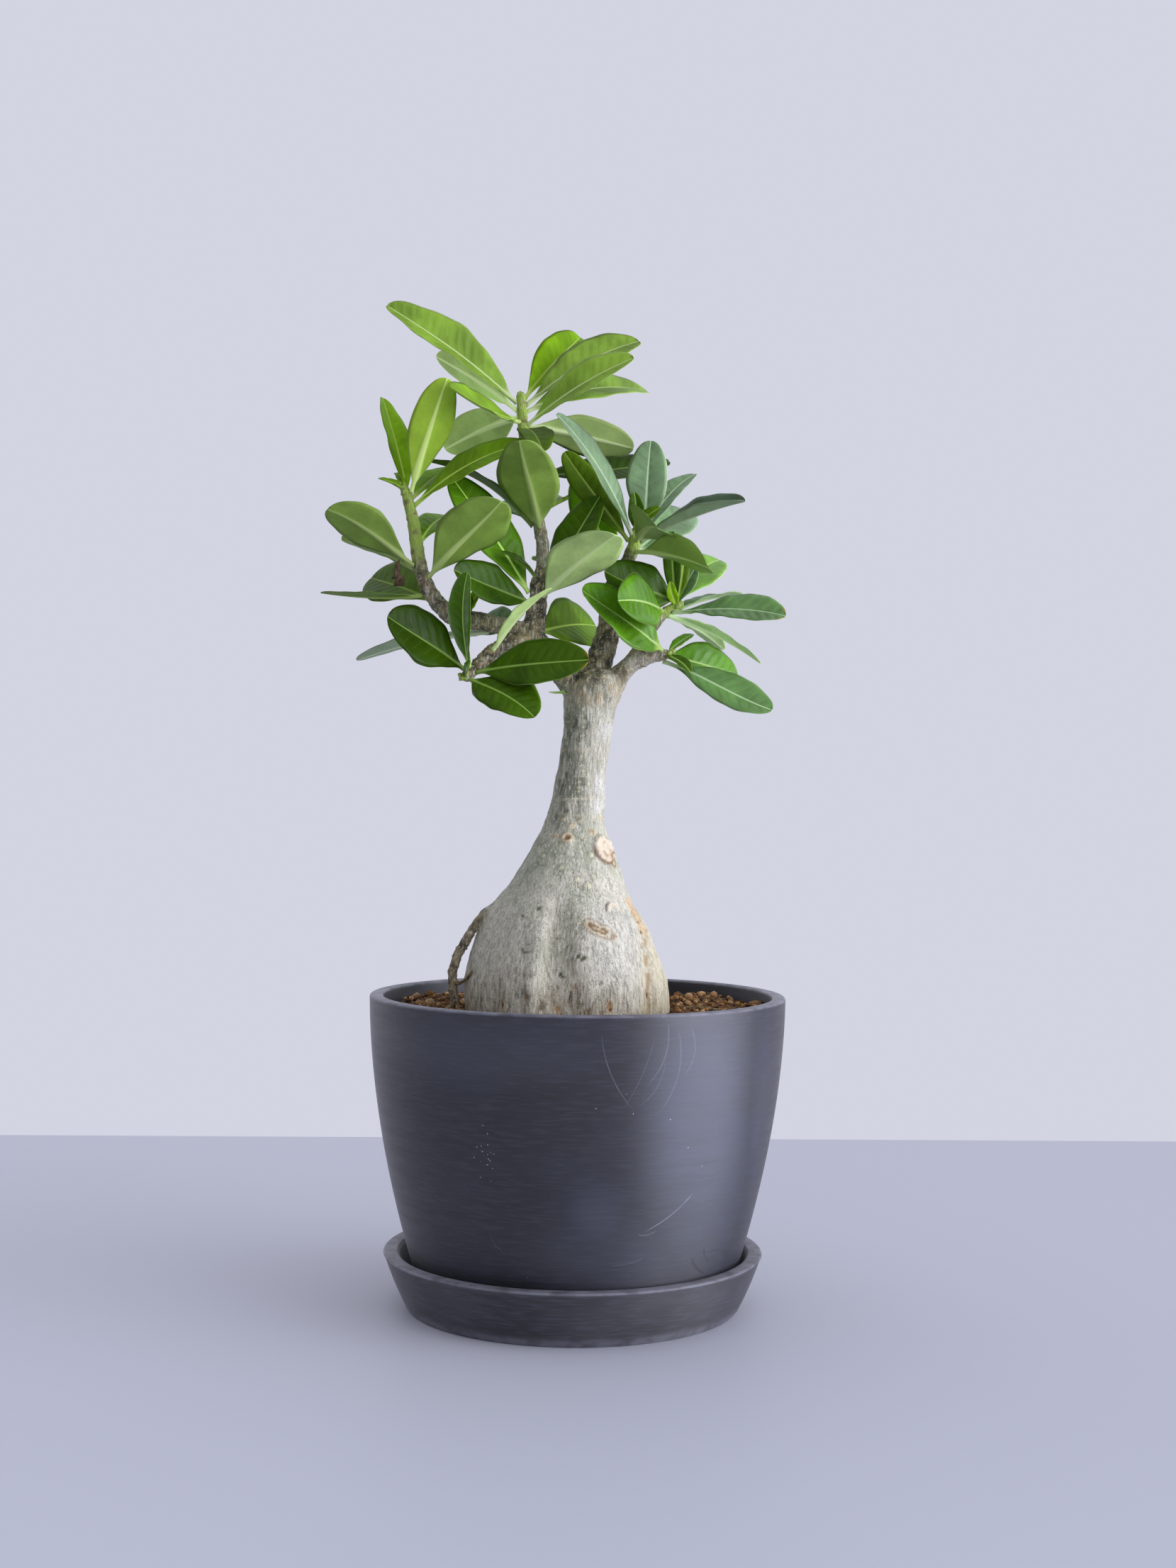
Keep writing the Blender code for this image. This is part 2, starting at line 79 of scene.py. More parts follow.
def ramp(value, low, high):
    """0 below low and 1 above high, with a smooth S between: t * t * (3 - 2 t)."""
    t = np.clip((value - low) / (high - low), 0, 1)
    return t * t * (3 - 2 * t)


def mix(share, first, second):
    """Blend two colours or sets of colours by a share for each point."""
    return first + (second - first) * np.asarray(share)[:, None]


def paint(colour, *layers):
    """Lay layers of (share, ink) over colour: ink is a linear colour or an sRGB hex code."""
    for share, ink in layers:
        colour = mix(np.clip(share, 0, 1), colour, linear(ink) if isinstance(ink, str) else ink)
    return colour


def hill(off, width):
    """1 in the middle, falling off to both sides: exp(-(off / width)^2)."""
    return np.exp(-(off / width) ** 2)


def unit(vector):
    """A vector made one long."""
    vector = np.asarray(vector, float)
    return vector / np.linalg.norm(vector, axis=-1, keepdims=True)


def rotated(first, second, angle):
    """Two coordinates turned together: (a cos t - b sin t, a sin t + b cos t)."""
    return first * np.cos(angle) - second * np.sin(angle), first * np.sin(angle) + second * np.cos(angle)


def around_axis(radius, turns, height):
    """Points (radius cos t, radius sin t, height) over the shape that the three share."""
    radius, turns, height = np.broadcast_arrays(radius, turns, height)
    return np.stack([radius * np.cos(turns), radius * np.sin(turns), height], -1)


def lattice_noise(points, seed):
    """Smooth noise from -1 to 1: hashed values on a unit lattice, blended along each axis."""
    cell = np.floor(points).astype(np.int64)
    part = points - cell
    part = part * part * (3 - 2 * part)
    total = np.zeros(len(points))
    for corner in np.ndindex(2, 2, 2):
        at = cell + corner
        key = at[:, 0] * 73856093 ^ at[:, 1] * 19349663 ^ at[:, 2] * 83492791 ^ seed * 2654435761
        key = (key ^ key >> 13) * 1274126177 & 0xFFFFFFFF
        key = (key ^ key >> 16) * 2246822519 & 0xFFFFFFFF
        value = ((key ^ key >> 15) & 0xFFFF) / 32767.5 - 1
        total += value * np.prod(np.where(corner, part, 1 - part), axis=1)
    return total


def rough(points, size, seed, octaves=3):
    """Noise whose largest lumps are `size` across: each octave has half the size and strength."""
    total = np.zeros(len(points))
    for octave in range(octaves):
        total += lattice_noise(points * 2 ** octave / size, seed + octave) / 2 ** octave
    return total


def curve_through(points, step):
    """Rows about `step` apart on a Catmull-Rom curve through rows that start with x, y, z.

    Between b and c, with neighbours a and d and t from 0 to 1, a row is half of
    2b + (c - a) t + (2a - 5b + 4c - d) t^2 + (3b - a - 3c + d) t^3.
    """
    given = np.array(points, float)
    ends = np.vstack([2 * given[0] - given[1], given, 2 * given[-1] - given[-2]])
    a, b, c, d = (ends[k:len(ends) - 3 + k, None] for k in range(4))
    t = np.linspace(0, 1, 24, endpoint=False)[None, :, None]
    fine = 2 * b + (c - a) * t + (2 * a - 5 * b + 4 * c - d) * t ** 2 + (3 * b - a - 3 * c + d) * t ** 3
    fine = np.vstack([0.5 * fine.reshape(-1, given.shape[1]), given[-1:]])
    run = np.r_[0, np.cumsum(np.linalg.norm(np.diff(fine[:, :3], axis=0), axis=1))]
    places = np.linspace(0, run[-1], max(3, round(run[-1] / step) + 1))
    return np.stack([np.interp(places, run, column) for column in fine.T], -1)


def sideways(ways):
    """Two directions square to each way along a path and to each other."""
    side = unit(np.cross(ways, PATH_ASIDE))
    return side, np.cross(ways, side)


# ---- Meshes ----

def grid_faces(rows, columns):
    """Quads of a grid of points whose last column joins its first."""
    row = np.arange(rows - 1)[:, None] * columns
    here = np.arange(columns)
    after = (here + 1) % columns
    return np.stack([row + here, row + after, row + columns + after, row + columns + here], -1).reshape(-1, 4)


def ring_shell(rings, loop=False):
    """Points and faces of a closed shell over rings (rings, around, xyz).

    With loop the last ring joins the first; without it each end is closed to a pole at its middle.
    """
    count, around = rings.shape[:2]
    points = rings.reshape(-1, 3)
    quads = grid_faces(count, around)
    here = np.arange(around)
    after = (here + 1) % around
    last = (count - 1) * around
    if loop:
        joint = np.stack([last + here, last + after, after, here], -1)
        return points, [np.vstack([quads, joint])]
    poles = [len(points), len(points) + 1]
    points = np.vstack([points, rings[0].mean(0), rings[-1].mean(0)])
    start = np.stack([after, here, np.full(around, poles[0])], -1)
    end = np.stack([last + here, last + after, np.full(around, poles[1])], -1)
    return points, [quads, np.vstack([start, end])]


def pole_values(values):
    """Values given ring by ring, with those of the two poles added."""
    flat = values.reshape(-1, *values.shape[2:])
    return np.concatenate([flat, values[:1, 0], values[-1:, 0]])


def signed_volume(points, faces):
    """Volume inside a closed mesh: the sum of a . (b x c) / 6 over its triangles."""
    total = 0.0
    for second in range(1, faces.shape[1] - 1):
        a, b, c = (points[faces[:, k]] for k in (0, second, second + 1))
        total += np.einsum("ij,ij->", a, np.cross(b, c)) / 6
    return total


def outward(points, face_sets):
    """Faces turned to look out of the shell."""
    if sum(signed_volume(points, faces) for faces in face_sets) < 0:
        return [faces[:, ::-1] for faces in face_sets]
    return face_sets


def joined(shells):
    """Many shells of (points, faces) as one, with their points counted on."""
    offset, points, face_sets = 0, [], []
    for shell, faces in shells:
        face_sets += [part + offset for part in outward(shell, faces)]
        points.append(shell)
        offset += len(shell)
    return np.vstack(points), face_sets


def mesh_piece(name, points, face_sets, material, attributes=None, smooth=True):
    """An object at the origin from points (mm), arrays of faces and values for each point."""
    mesh = bpy.data.meshes.new(name)
    mesh.vertices.add(len(points))
    mesh.vertices.foreach_set("co", (points * MM).astype(np.float32).ravel())
    corners = np.concatenate([faces.ravel() for faces in face_sets])
    sides = np.concatenate([np.full(len(faces), faces.shape[1]) for faces in face_sets])
    mesh.loops.add(len(corners))
    mesh.loops.foreach_set("vertex_index", corners.astype(np.int32))
    mesh.polygons.add(len(sides))
    mesh.polygons.foreach_set("loop_start", (np.cumsum(sides) - sides).astype(np.int32))
    mesh.update(calc_edges=True)
    mesh.validate()
    if smooth:
        mesh.shade_smooth()
    mesh.materials.append(material)
    piece = bpy.data.objects.new(name, mesh)
    bpy.context.scene.collection.objects.link(piece)
    for label, values in (attributes or {}).items():
        add_attribute(mesh, label, values)
    return piece


def add_attribute(mesh, label, values):
    """Store one number or one colour for each point."""
    if values.ndim == 1:
        layer = mesh.attributes.new(label, "FLOAT", "POINT")
        layer.data.foreach_set("value", values.astype(np.float32))
        return
    layer = mesh.attributes.new(label, "FLOAT_COLOR", "POINT")
    colours = np.c_[values, np.ones(len(values))]
    layer.data.foreach_set("color", colours.astype(np.float32).ravel())


def node_points(node):
    """A CAD node's corners in mm."""
    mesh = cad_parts[node].data
    points = np.empty(len(mesh.vertices) * 3, np.float32)
    mesh.vertices.foreach_get("co", points)
    return points.reshape(-1, 3).astype(float) / MM


def box_mm(node):
    """A CAD node's lowest and highest corners in mm."""
    low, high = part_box(node)
    return np.array(low) / MM, np.array(high) / MM


def finish_piece(piece, slot, *nodes):
    """Tie a piece to the plant and hide the CAD nodes that it stands for; the slot is not used."""
    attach(piece, "root")
    if nodes:
        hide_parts(*nodes)
    return piece


# ---- Materials ----

SOFT = {"interpolation_type": "SMOOTHSTEP"}
COLOUR = {"data_type": "RGBA"}
TIMES = {"operation": "MULTIPLY"}


def add_node(tree, kind, *values, output=None, **settings):
    """Add a shader node, give it its settings, then link or set its open inputs in order.

    It gives back the output that is named, or else the first open one.
    """
    made = tree.nodes.new("ShaderNode" + kind)
    for label, value in settings.items():
        setattr(made, label, value)
    for socket, value in zip([s for s in made.inputs if s.enabled], values):
        if isinstance(value, bpy.types.NodeSocket):
            tree.links.new(value, socket)
        else:
            socket.default_value = value
    return made.outputs[output] if output else next(s for s in made.outputs if s.enabled)


def new_material(name, **constants):
    """A Principled material with its constants on the shader's own sockets, its node adder and its inputs."""
    made = bpy.data.materials.new(name)
    made.use_nodes = True
    shader = made.node_tree.nodes["Principled BSDF"]
    for label, value in constants.items():
        shader.inputs[label.replace("_", " ")].default_value = value
    return made, partial(add_node, made.node_tree), shader


def finish_surface(shader, colour, roughness, bumps):
    """Link a shader's colour and roughness, and its bumps of (height, depth in mm), one on another."""
    tree = shader.id_data
    for label, value in (("Base Color", colour), ("Roughness", roughness)):
        if isinstance(value, bpy.types.NodeSocket):
            tree.links.new(value, shader.inputs[label])
        else:
            shader.inputs[label].default_value = value
    normal = None
    for height, depth in bumps:
        made = tree.nodes.new("ShaderNodeBump")
        made.inputs["Distance"].default_value = depth * MM
        tree.links.new(height, made.inputs["Height"])
        if normal:
            tree.links.new(normal, made.inputs["Normal"])
        normal = made.outputs["Normal"]
    tree.links.new(normal, shader.inputs["Normal"])


# ---- Pot and saucer ----

AROUND = 192
LIP_ROUND = 0.9
FOOT_ROUND = 2.5
POT_WALL = 5.5
POT_NARROWING = 22.2
POT_CURVE = 1.8
POT_FLOOR = 5.0
SAUCER_NARROWING = 9.6
SAUCER_WALL = 6.0
SAUCER_FLOOR = 4.7

# Marks on the pot's side: (x, height, turn in degrees, length, sag, width, strength, colour).
SCRATCHES = [
    (36, 50, 36, 25, 1.5, 0.3, 0.5, "A3A6B6"), (27, 43, 8, 8, 1, 0.25, 0.35, "A3A6B6"),
    (33, 112, 74, 28, 4, 0.3, 0.34, "8A8DA0"), (38, 105, 78, 36, 5, 0.3, 0.3, "8A8DA0"),
    (30, 100, 60, 22, 3, 0.3, 0.24, "8A8DA0"), (44, 112, 82, 22, 4, 0.25, 0.3, "8A8DA0"),
    (13, 104, -66, 34, 3, 0.3, 0.34, "8A8DA0"), (24, 104, 66, 34, 2, 0.25, 0.22, "8A8DA0"),
    (-69, 92, 78, 22, 3, 0.35, 0.5, "20222B"), (20, 32, 12, 14, 1, 0.25, 0.25, "8A8DA0"),
    (46.5, 27, -55, 11, 1.5, 0.8, 0.9, "020203"), (56, 32, -20, 10, -2.5, 0.7, 0.85, "050608"),
    (50, 31, -70, 8, 1, 0.5, 0.8, "050608"), (-9, 44, 84, 46, 3, 0.35, 0.3, "2A2C36"),
    (-30, 38, -50, 9, 1, 0.25, 0.2, "8A8DA0"),
]
# Clusters of pale specks on the pot: (x, height, half width, half height, share of the places filled).
SPECKS = [(-34, 73, 7, 17, 0.75), (18, 90, 22, 12, 0.2), (-22, 28, 18, 9, 0.15), (50, 70, 20, 30, 0.1)]
# Handling haze and painted highlight on the pot's front: (x, height, half width, half height, strength).
HAZE_AND_PAINTED_HIGHLIGHTS = [
    (46, 84, 30, 76, 0.8), (8, 50, 15, 18, 0.35), (-40, 112, 60, 20, 0.3), (16, 34, 50, 24, 0.25),
    (74, 80, 12, 60, 0.4),
]


def arc(radius, height, size, start, end, count):
    """Points on an arc round (radius, height): it plus size * (cos, sin) of each angle in degrees."""
    angles = np.radians(np.linspace(start, end, count))
    return np.stack([radius + size * np.cos(angles), height + size * np.sin(angles)], -1)


def turned_piece(name, outline, material, centre_x, edge, loop):
    """Carry an outline of (radius, height) round the axis, with a wobble of about 0.1 mm."""
    turns = np.linspace(0, FULL_TURN, AROUND, endpoint=False)
    radius, height = np.vstack(outline).T
    rings = around_axis(radius[:, None], turns, height[:, None])
    flat = rings.reshape(-1, 3)
    wobble = 1 + 0.1 * lattice_noise(flat / 45, 5) / np.maximum(np.hypot(flat[:, 0], flat[:, 1]), 20)
    flat[:, :2] *= wobble[:, None]
    flat[:, 0] += centre_x
    points, faces = ring_shell(rings, loop)
    marks = np.repeat(edge(radius, height)[:, None], AROUND, 1)
    marks = marks.ravel() if loop else pole_values(marks)
    return mesh_piece(name, points, outward(points, faces), material, {"edge": marks})


def scratch(node, place, x, height, turn, length, sag, width):
    """A curved line on the front: |z' - sag x'^2| < width, where |x'| < 1.

    x' and z' are the front view's x and height, moved to the scratch's middle, turned along it, and x'
    is a share of half its length.
    """
    moved = node("Mapping", place, (x * MM, 0, height * MM), (0, -math.radians(turn), 0),
                 (length / 2 * MM, 1, MM), vector_type="TEXTURE")
    along = node("SeparateXYZ", moved, output="X")
    level = node("SeparateXYZ", moved, output="Z")
    bow = node("Math", node("Math", along, along, **TIMES), sag, **TIMES)
    off = node("Math", node("Math", level, bow, operation="SUBTRACT"), operation="ABSOLUTE")
    line = node("MapRange", off, width * 0.3, width, 1.0, 0.0, **SOFT)
    ends = node("MapRange", node("Math", along, operation="ABSOLUTE"), 0.6, 1.0, 1.0, 0.0, **SOFT)
    return node("Math", line, ends, **TIMES)


def patches(node, place, rows):
    """The greatest of a few soft ellipses on the front, each full to 0.2 of its size and 0 at its edge."""
    most = 0.0
    for x, height, wide, tall, strength in rows:
        off = node("Mapping", place, (x * MM, 0, height * MM), (0, 0, 0), (wide * MM, 1, tall * MM),
                   vector_type="TEXTURE")
        near = node("MapRange", node("VectorMath", off, operation="LENGTH"), 0.2, 1.0, strength, 0.0, **SOFT)
        most = node("Math", near, most, operation="MAXIMUM")
    return most


def moulded_plastic(name, base, light, dusty, wear, scuffs, marks=()):
    """Recycled polypropylene, moulded and turned: matt, faintly brushed around, hazed, scuffed, and on the
    pot painted highlights.

    The brush marks are about 0.2 mm apart on the real pot and are drawn 0.8 mm apart to show.
    """
    made, node, shader = new_material(name, IOR=1.55, Specular_IOR_Level=0.9, Anisotropic=0.85,
                                      Anisotropic_Rotation=0.25)
    place = node("TexCoord", output="Object")
    around = node("Mapping", place, (0, 0, 0), (0, 0, 0), (0.09, 0.09, 1))
    brushing = node("TexNoise", around, 1 / (0.8 * MM), 2.0)
    streaks = node("TexNoise", around, 1 / (3.5 * MM), 4.0)
    haze = node("TexNoise", place, 1 / (38 * MM), 3.0)
    colour = (*base, 1)
    for source, low, high, most, tint in (
            (haze, 0.35, 0.68, 0.75, light), (streaks, 0.5, 0.8, scuffs, light),
            (brushing, 0.45, 0.7, 0.14 + 0.2 * scuffs, dusty)):
        share = node("MapRange", source, low, high, 0.0, most, **SOFT)
        colour = node("Mix", share, colour, (*tint, 1), **COLOUR)
    grains = node("TexVoronoi", place, 1 / (1.4 * MM))
    specks = node("MapRange", grains, 0.1, 0.2, 1.0, 0.0, **SOFT)
    front = node("MapRange", node("SeparateXYZ", place, output="Y"), -0.04, -0.02, 1.0, 0.0)
    if marks:
        # Painted highlight and handling haze: pale patches on the pot's front, in the dust colour, strongest
        # at the right third.
        hazed = node("Math", patches(node, place, HAZE_AND_PAINTED_HIGHLIGHTS), front, **TIMES)
        haze_and_painted_highlight = node("Math", hazed, node("MapRange", streaks, 0.3, 0.6, 0.7, 1.0), **TIMES)
        colour = node("Mix", haze_and_painted_highlight, colour, (*dusty, 1), **COLOUR)
        chance = node("Math", patches(node, place, SPECKS),
                      node("TexVoronoi", place, 1 / (1.4 * MM), output="Color"), operation="GREATER_THAN")
        specks = node("Math", specks, chance, **TIMES)
        colour = node("Mix", node("Math", specks, front, **TIMES), colour, rgba("B9BBC6"), **COLOUR)
    # Worn edges are paler; along the pot's rim the pale line is also a painted highlight where the lip
    # catches the light.
    edge = node("Attribute", attribute_name="edge")
    broken = node("MapRange", node("TexNoise", place, 1 / (7 * MM), 5.0), 0.3, 0.62, 0.3, 1.0, **SOFT)
    worn = node("Math", edge, broken, **TIMES)
    colour = node("Mix", node("Math", worn, wear, **TIMES), colour, rgba("9A9AA6"), **COLOUR)
    for *shape, strength, code in marks:
        line = node("Math", scratch(node, place, *shape), front, **TIMES)
        broken = node("MapRange", streaks, 0.3, 0.6, 0.35 * strength, strength)
        colour = node("Mix", node("Math", line, broken, **TIMES), colour, rgba(code), **COLOUR)
    matt = node("MapRange", haze, 0.3, 0.7, 0.47, 0.54)
    matt = node("Math", matt, node("MapRange", streaks, 0.4, 0.7, 0.0, 0.06), operation="ADD")
    fine = node("TexNoise", place, 1 / (0.6 * MM), 2.0)
    finish_surface(shader, colour, matt, [(brushing, 0.035), (fine, 0.02)])
    return made


def make_pot(settings):
    """The cup: rounded foot, curved side, flat rim with rounded lips, inner side, floor and hole.

    The side's radius is the rim's, less 22.2 mm times the share of the way down to the power 1.8.
    """
    low, high = box_mm("pot")
    rim, bottom, top = high[0], low[2], high[2]
    inside = rim - POT_WALL
    floor = bottom + POT_FLOOR
    hole = np.hypot(*node_points("pot")[:, :2].T).min()

    def side(height, wall=0.0):
        """The side's radius at a height, less the wall for the inner side."""
        down = np.clip((top - height) / (top - bottom), 0, 1)
        return rim - wall - POT_NARROWING * down ** POT_CURVE

    outer = np.linspace(bottom + FOOT_ROUND + 1, top - LIP_ROUND - 0.3, 60)
    inner = np.linspace(top - LIP_ROUND - 0.6, floor + 4, 30)
    foot = side(bottom + FOOT_ROUND)
    outline = [
        [[hole, bottom], [foot * 0.7, bottom]],
        arc(foot - FOOT_ROUND, bottom + FOOT_ROUND, FOOT_ROUND, -90, -8, 7),
        np.stack([side(outer), outer], -1),
        arc(rim - LIP_ROUND, top - LIP_ROUND, LIP_ROUND, 5, 90, 6),
        arc(inside + LIP_ROUND, top - LIP_ROUND, LIP_ROUND, 90, 180, 6),
        np.stack([side(inner, POT_WALL), inner], -1),
        [[side(floor + 1, POT_WALL) - 2.5, floor + 0.8], [side(floor, POT_WALL) - 5, floor], [hole, floor]],
    ]
    plastic = moulded_plastic("moulded_recycled_polypropylene", settings.shade, settings.haze,
                              settings.dust, settings.wear, 0.1, SCRATCHES)

    def edge(radius, height):
        """How pale a ring is painted: the rim most, as wear and as a painted highlight where the lip catches
        the light, the foot less, as wear.
        """
        return ramp(height, top - 1.1, top - 0.2) + ramp(-height, -bottom - 4, -bottom) * 0.6

    pot = turned_piece("moulded_pot", outline, plastic, 0, edge, True)
    finish_piece(pot, "pot", "pot")


def make_saucer(settings):
    """The dish: flat underside, thick flared wall that bows out a little, rounded lips, shallow floor."""
    low, high = box_mm("saucer")
    centre, rim, top = (low[0] + high[0]) / 2, (high[0] - low[0]) / 2, high[2]
    base = rim - SAUCER_NARROWING
    inner_rim, inner_base = rim - SAUCER_WALL, base - 2.6
    share = np.linspace(0.06, 0.95, 24)
    fall = np.linspace(0.06, 0.94, 14)
    outline = [
        [[0.5, 0], [base - 1.2, 0]],
        arc(base - 1.2, 1.2, 1.2, -90, -15, 5),
        np.stack([base + SAUCER_NARROWING * share + 0.5 * np.sin(np.pi * share), top * share], -1),
        arc(rim - LIP_ROUND, top - LIP_ROUND, LIP_ROUND, 10, 90, 5),
        arc(inner_rim + LIP_ROUND, top - LIP_ROUND, LIP_ROUND, 90, 175, 5),
        np.stack([inner_rim + (inner_base - inner_rim) * fall, top + (SAUCER_FLOOR + 1.5 - top) * fall], -1),
        [[inner_base - 0.4, SAUCER_FLOOR + 0.6], [inner_base - 1.5, SAUCER_FLOOR], [0.5, SAUCER_FLOOR]],
    ]
    plastic = moulded_plastic("scuffed_recycled_polypropylene", settings.saucer_shade,
                              settings.saucer_haze, settings.dust, settings.wear, 0.75)

    def edge(radius, height):
        """How exposed to wear a ring is: the outer rim most, the foot less."""
        return ramp(height, top - 1.4, top - 0.3) * (radius > base) + ramp(-height, -5, -0.5) * 0.8

    saucer = turned_piece("moulded_saucer", outline, plastic, centre, edge, False)
    finish_piece(saucer, "saucer", "saucer")


# ---- Wood ----

# The wood's skin: the size of its cells in mm, and the rounds in which it is evened out.
VOXEL = 0.75
EVENING_ROUNDS = 12
# How far from the axis the trunk's rings reach.
TRUNK_REACH = 16
# Limbs: points (x, y, z, radius) from inside the parent to the tip, where bark and growth differ.
LIMBS = {
    "left_limb": [
        (3, 0, 247, 7), (-4, -1, 255, 6.4), (-12, -4, 264, 5.4), (-20, -6, 273, 5.2),
        (-18, -5, 283, 4.2), (-18, -4, 291, 3.5), (-16.5, -4, 300, 3),
    ],
    "leader": [
        (-18, -4, 289, 3), (-16, -4, 305, 2.8), (-17.5, -4, 317, 2.6), (-21, -3, 333, 2.4),
        (-23.5, -2, 347, 2.2), (-25, -1, 360, 2.3), (-26, 0, 373, 1.9),
    ],
    "left_branch": [
        (-19, -6, 274, 4.2), (-29, -7, 276, 3.8), (-38, -8, 278, 3.7), (-52, -9, 280, 3.6),
        (-59, -9, 286, 3.5), (-64, -9, 294, 3.2), (-66.5, -8, 303, 2.9), (-69, -7, 318, 2.6),
        (-72.5, -5, 332, 2.1),
    ],
    "low_shoot": [
        (-19, -6, 272, 4.2), (-30, -10, 269.5, 3.6), (-38, -14, 264, 3), (-46.5, -18, 254.5, 2.2),
    ],
    "centre_limb": [
        (5, 1, 247, 7), (6, 3, 257, 6), (8, 5, 265, 5.6), (10.5, 6, 273, 5.2), (12, 8, 285, 4.5),
        (13.5, 8, 296, 3.9), (18, 8, 304, 3.3), (21.5, 7, 312, 2.8), (22.5, 7, 319, 2.2),
    ],
    "right_limb": [
        (9, 0, 244, 5.6), (13.5, 0, 253, 4.7), (17, -2, 259.5, 4.1), (22.5, -4, 263.5, 3.8),
        (29, -6, 265.5, 3.1), (35, -8, 266, 2.1),
    ],
    "right_shoot": [
        (22, -4, 264, 3.2), (27, -1, 275.5, 3), (33, 1, 283, 2.6), (39, 2, 286.5, 2),
    ],
    "aerial_root": [
        (-33, -4, 163, 1.6), (-40.5, -5, 157.5, 1.9), (-45, -6, 149.5, 1.9), (-49, -6, 143, 2),
        (-51, -6, 137, 2), (-51, -6, 130, 1.9), (-50, -6, 122, 1.7),
    ],
}
# Bark of each limb: (ground colour, mottling, share mottled, relief, green length at the tip).
LIMB_BARK = {
    "left_limb": ("857C5E", "3D3822", 0.85, 0.85, 0),
    "leader": ("A3A184", "6C6B4C", 0.35, 0.25, 32),
    "left_branch": ("8F8868", "4C4530", 0.55, 0.5, 38),
    "low_shoot": ("82795A", "3D3822", 0.8, 0.75, 0),
    "centre_limb": ("938C70", "454029", 0.8, 0.8, 14),
    "right_limb": ("C0BAA6", "857B60", 0.3, 0.3, 0),
    "right_shoot": ("9C9C6E", "625A3C", 0.5, 0.4, 10),
    "aerial_root": ("968C70", "554B35", 0.6, 0.5, 0),
}
# Leaf scars climb each limb in a spiral: mm and degrees from one to the next.
SCAR_STEP = 2.6
SCAR_TURN = 137.5
# Raised rings round the trunk: (height, tilt, strength).
TRUNK_RINGS = [
    (226.5, 0.03, 0.8), (215.5, -0.02, 0.6), (206.5, 0.03, 1), (199.5, -0.12, 0.9), (238, 0.04, 0.5),
]
# Pale nodules: (x, y, height, radius).
NODULES = [
    (-14.5, -13.5, 183.5, 0.9), (5, -15, 184, 1.1), (-7, -19, 178.5, 1), (-0.5, -21, 174, 1),
    (5.5, -18.5, 175.5, 0.9), (3.5, -21, 171.5, 1.2), (1, -10, 243, 0.7), (0, -10.5, 240.5, 0.6),
    (1, -10, 236, 0.7), (0, -10.5, 232.5, 0.6), (-0.5, -11, 229, 0.7), (0.5, -10.5, 224, 0.7),
    (0, -11, 220.5, 0.6), (1, -10, 218, 0.7), (-0.5, -10.5, 213.5, 0.7), (-0.5, -10.5, 211.5, 0.8),
    (-0.5, -10.5, 209.5, 0.7), (3.5, -10, 213, 0.7), (9, 18, 180, 1.1), (-6, 20, 176, 1),
    (-12, 12, 190, 1), (3, 11, 216, 0.8), (20, 9, 168, 1.1),
]
# Tan corky knobs on the shoulder: (x, y, height, radius).
KNOBS = [
    (-4, -12, 188, 1.2), (5, -11, 193.5, 2.1), (-3.5, -12, 195.5, 1.5), (9, -6, 199, 1.7),
    (-9, -11, 190.5, 1.4), (0.5, -12, 197.5, 1.1), (-6.5, -11, 198.5, 1.2), (2, -12.5, 190, 0.9),
    (-2, 12, 193, 2), (7, 10, 197, 1.5),
]
# Dark mossy patches: (x, y, height, half width, half height).
MOSS = [
    (-22, -25.5, 159.5, 1.6, 0.9), (-20.5, -32, 147.5, 2.6, 1.6), (1, -35.5, 144.5, 3.4, 1.4),
    (-16, -27, 163, 1.1, 0.7), (-6, -36, 138, 1.5, 1.2), (22, 28, 150, 2.5, 1.4), (-14, 33, 146, 2.2, 1.5),
]
# Pits low on the caudex: (x, y, height, half width, half height).
PITS = [
    (12, -36, 125, 1.4, 3), (-1, -37, 133, 0.9, 1.6), (-8, -36, 123, 1.2, 2.4),
    (4, -37, 122, 0.8, 2.4), (-28, -29, 125, 0.9, 2.6), (-19, -33, 128, 0.8, 1.8),
    (27, -20, 128, 0.9, 3.4), (14, 33, 126, 1.3, 3),
]


def wood_skin():
    """Points and quads over the CAD wood: merged, remeshed on a fine lattice and evened out."""
    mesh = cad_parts["adenium_wood"].data.copy()
    shape = bmesh.new()
    shape.from_mesh(mesh)
    bmesh.ops.remove_doubles(shape, verts=shape.verts, dist=MM / 1000)
    shape.to_mesh(mesh)
    shape.free()
    guide = bpy.data.objects.new("wood_guide", mesh)
    bpy.context.scene.collection.objects.link(guide)
    remesh = guide.modifiers.new("remesh", "REMESH")
    remesh.mode = "VOXEL"
    remesh.voxel_size = VOXEL * MM
    fine = bpy.data.meshes.new_from_object(guide.evaluated_get(bpy.context.evaluated_depsgraph_get()))
    points = np.empty(len(fine.vertices) * 3, np.float32)
    fine.vertices.foreach_get("co", points)
    quads = np.empty(len(fine.loops), np.int32)
    fine.loops.foreach_get("vertex_index", quads)
    bpy.data.objects.remove(guide)
    bpy.data.meshes.remove(fine)
    bpy.data.meshes.remove(mesh)
    quads = quads.reshape(-1, 4)
    return evened(points.reshape(-1, 3).astype(float) / MM, quads, EVENING_ROUNDS), quads


def neighbour_mean(values, quads):
    """The mean of each point's neighbours along the quads' sides."""
    one = quads.ravel()
    two = np.roll(quads, -1, axis=1).ravel()
    count = np.bincount(one, minlength=len(values)) + np.bincount(two, minlength=len(values))
    sums = [np.bincount(one, column[two], len(values)) + np.bincount(two, column[one], len(values))
            for column in values.T]
    return np.stack(sums, -1) / count[:, None]


def evened(points, quads, rounds):
    """Smooth without shrinking: each round moves half way to the neighbours' mean, then 0.53 back out."""
    for _ in range(rounds):
        for share in (0.5, -0.53):
            points = points + share * (neighbour_mean(points, quads) - points)
    return points


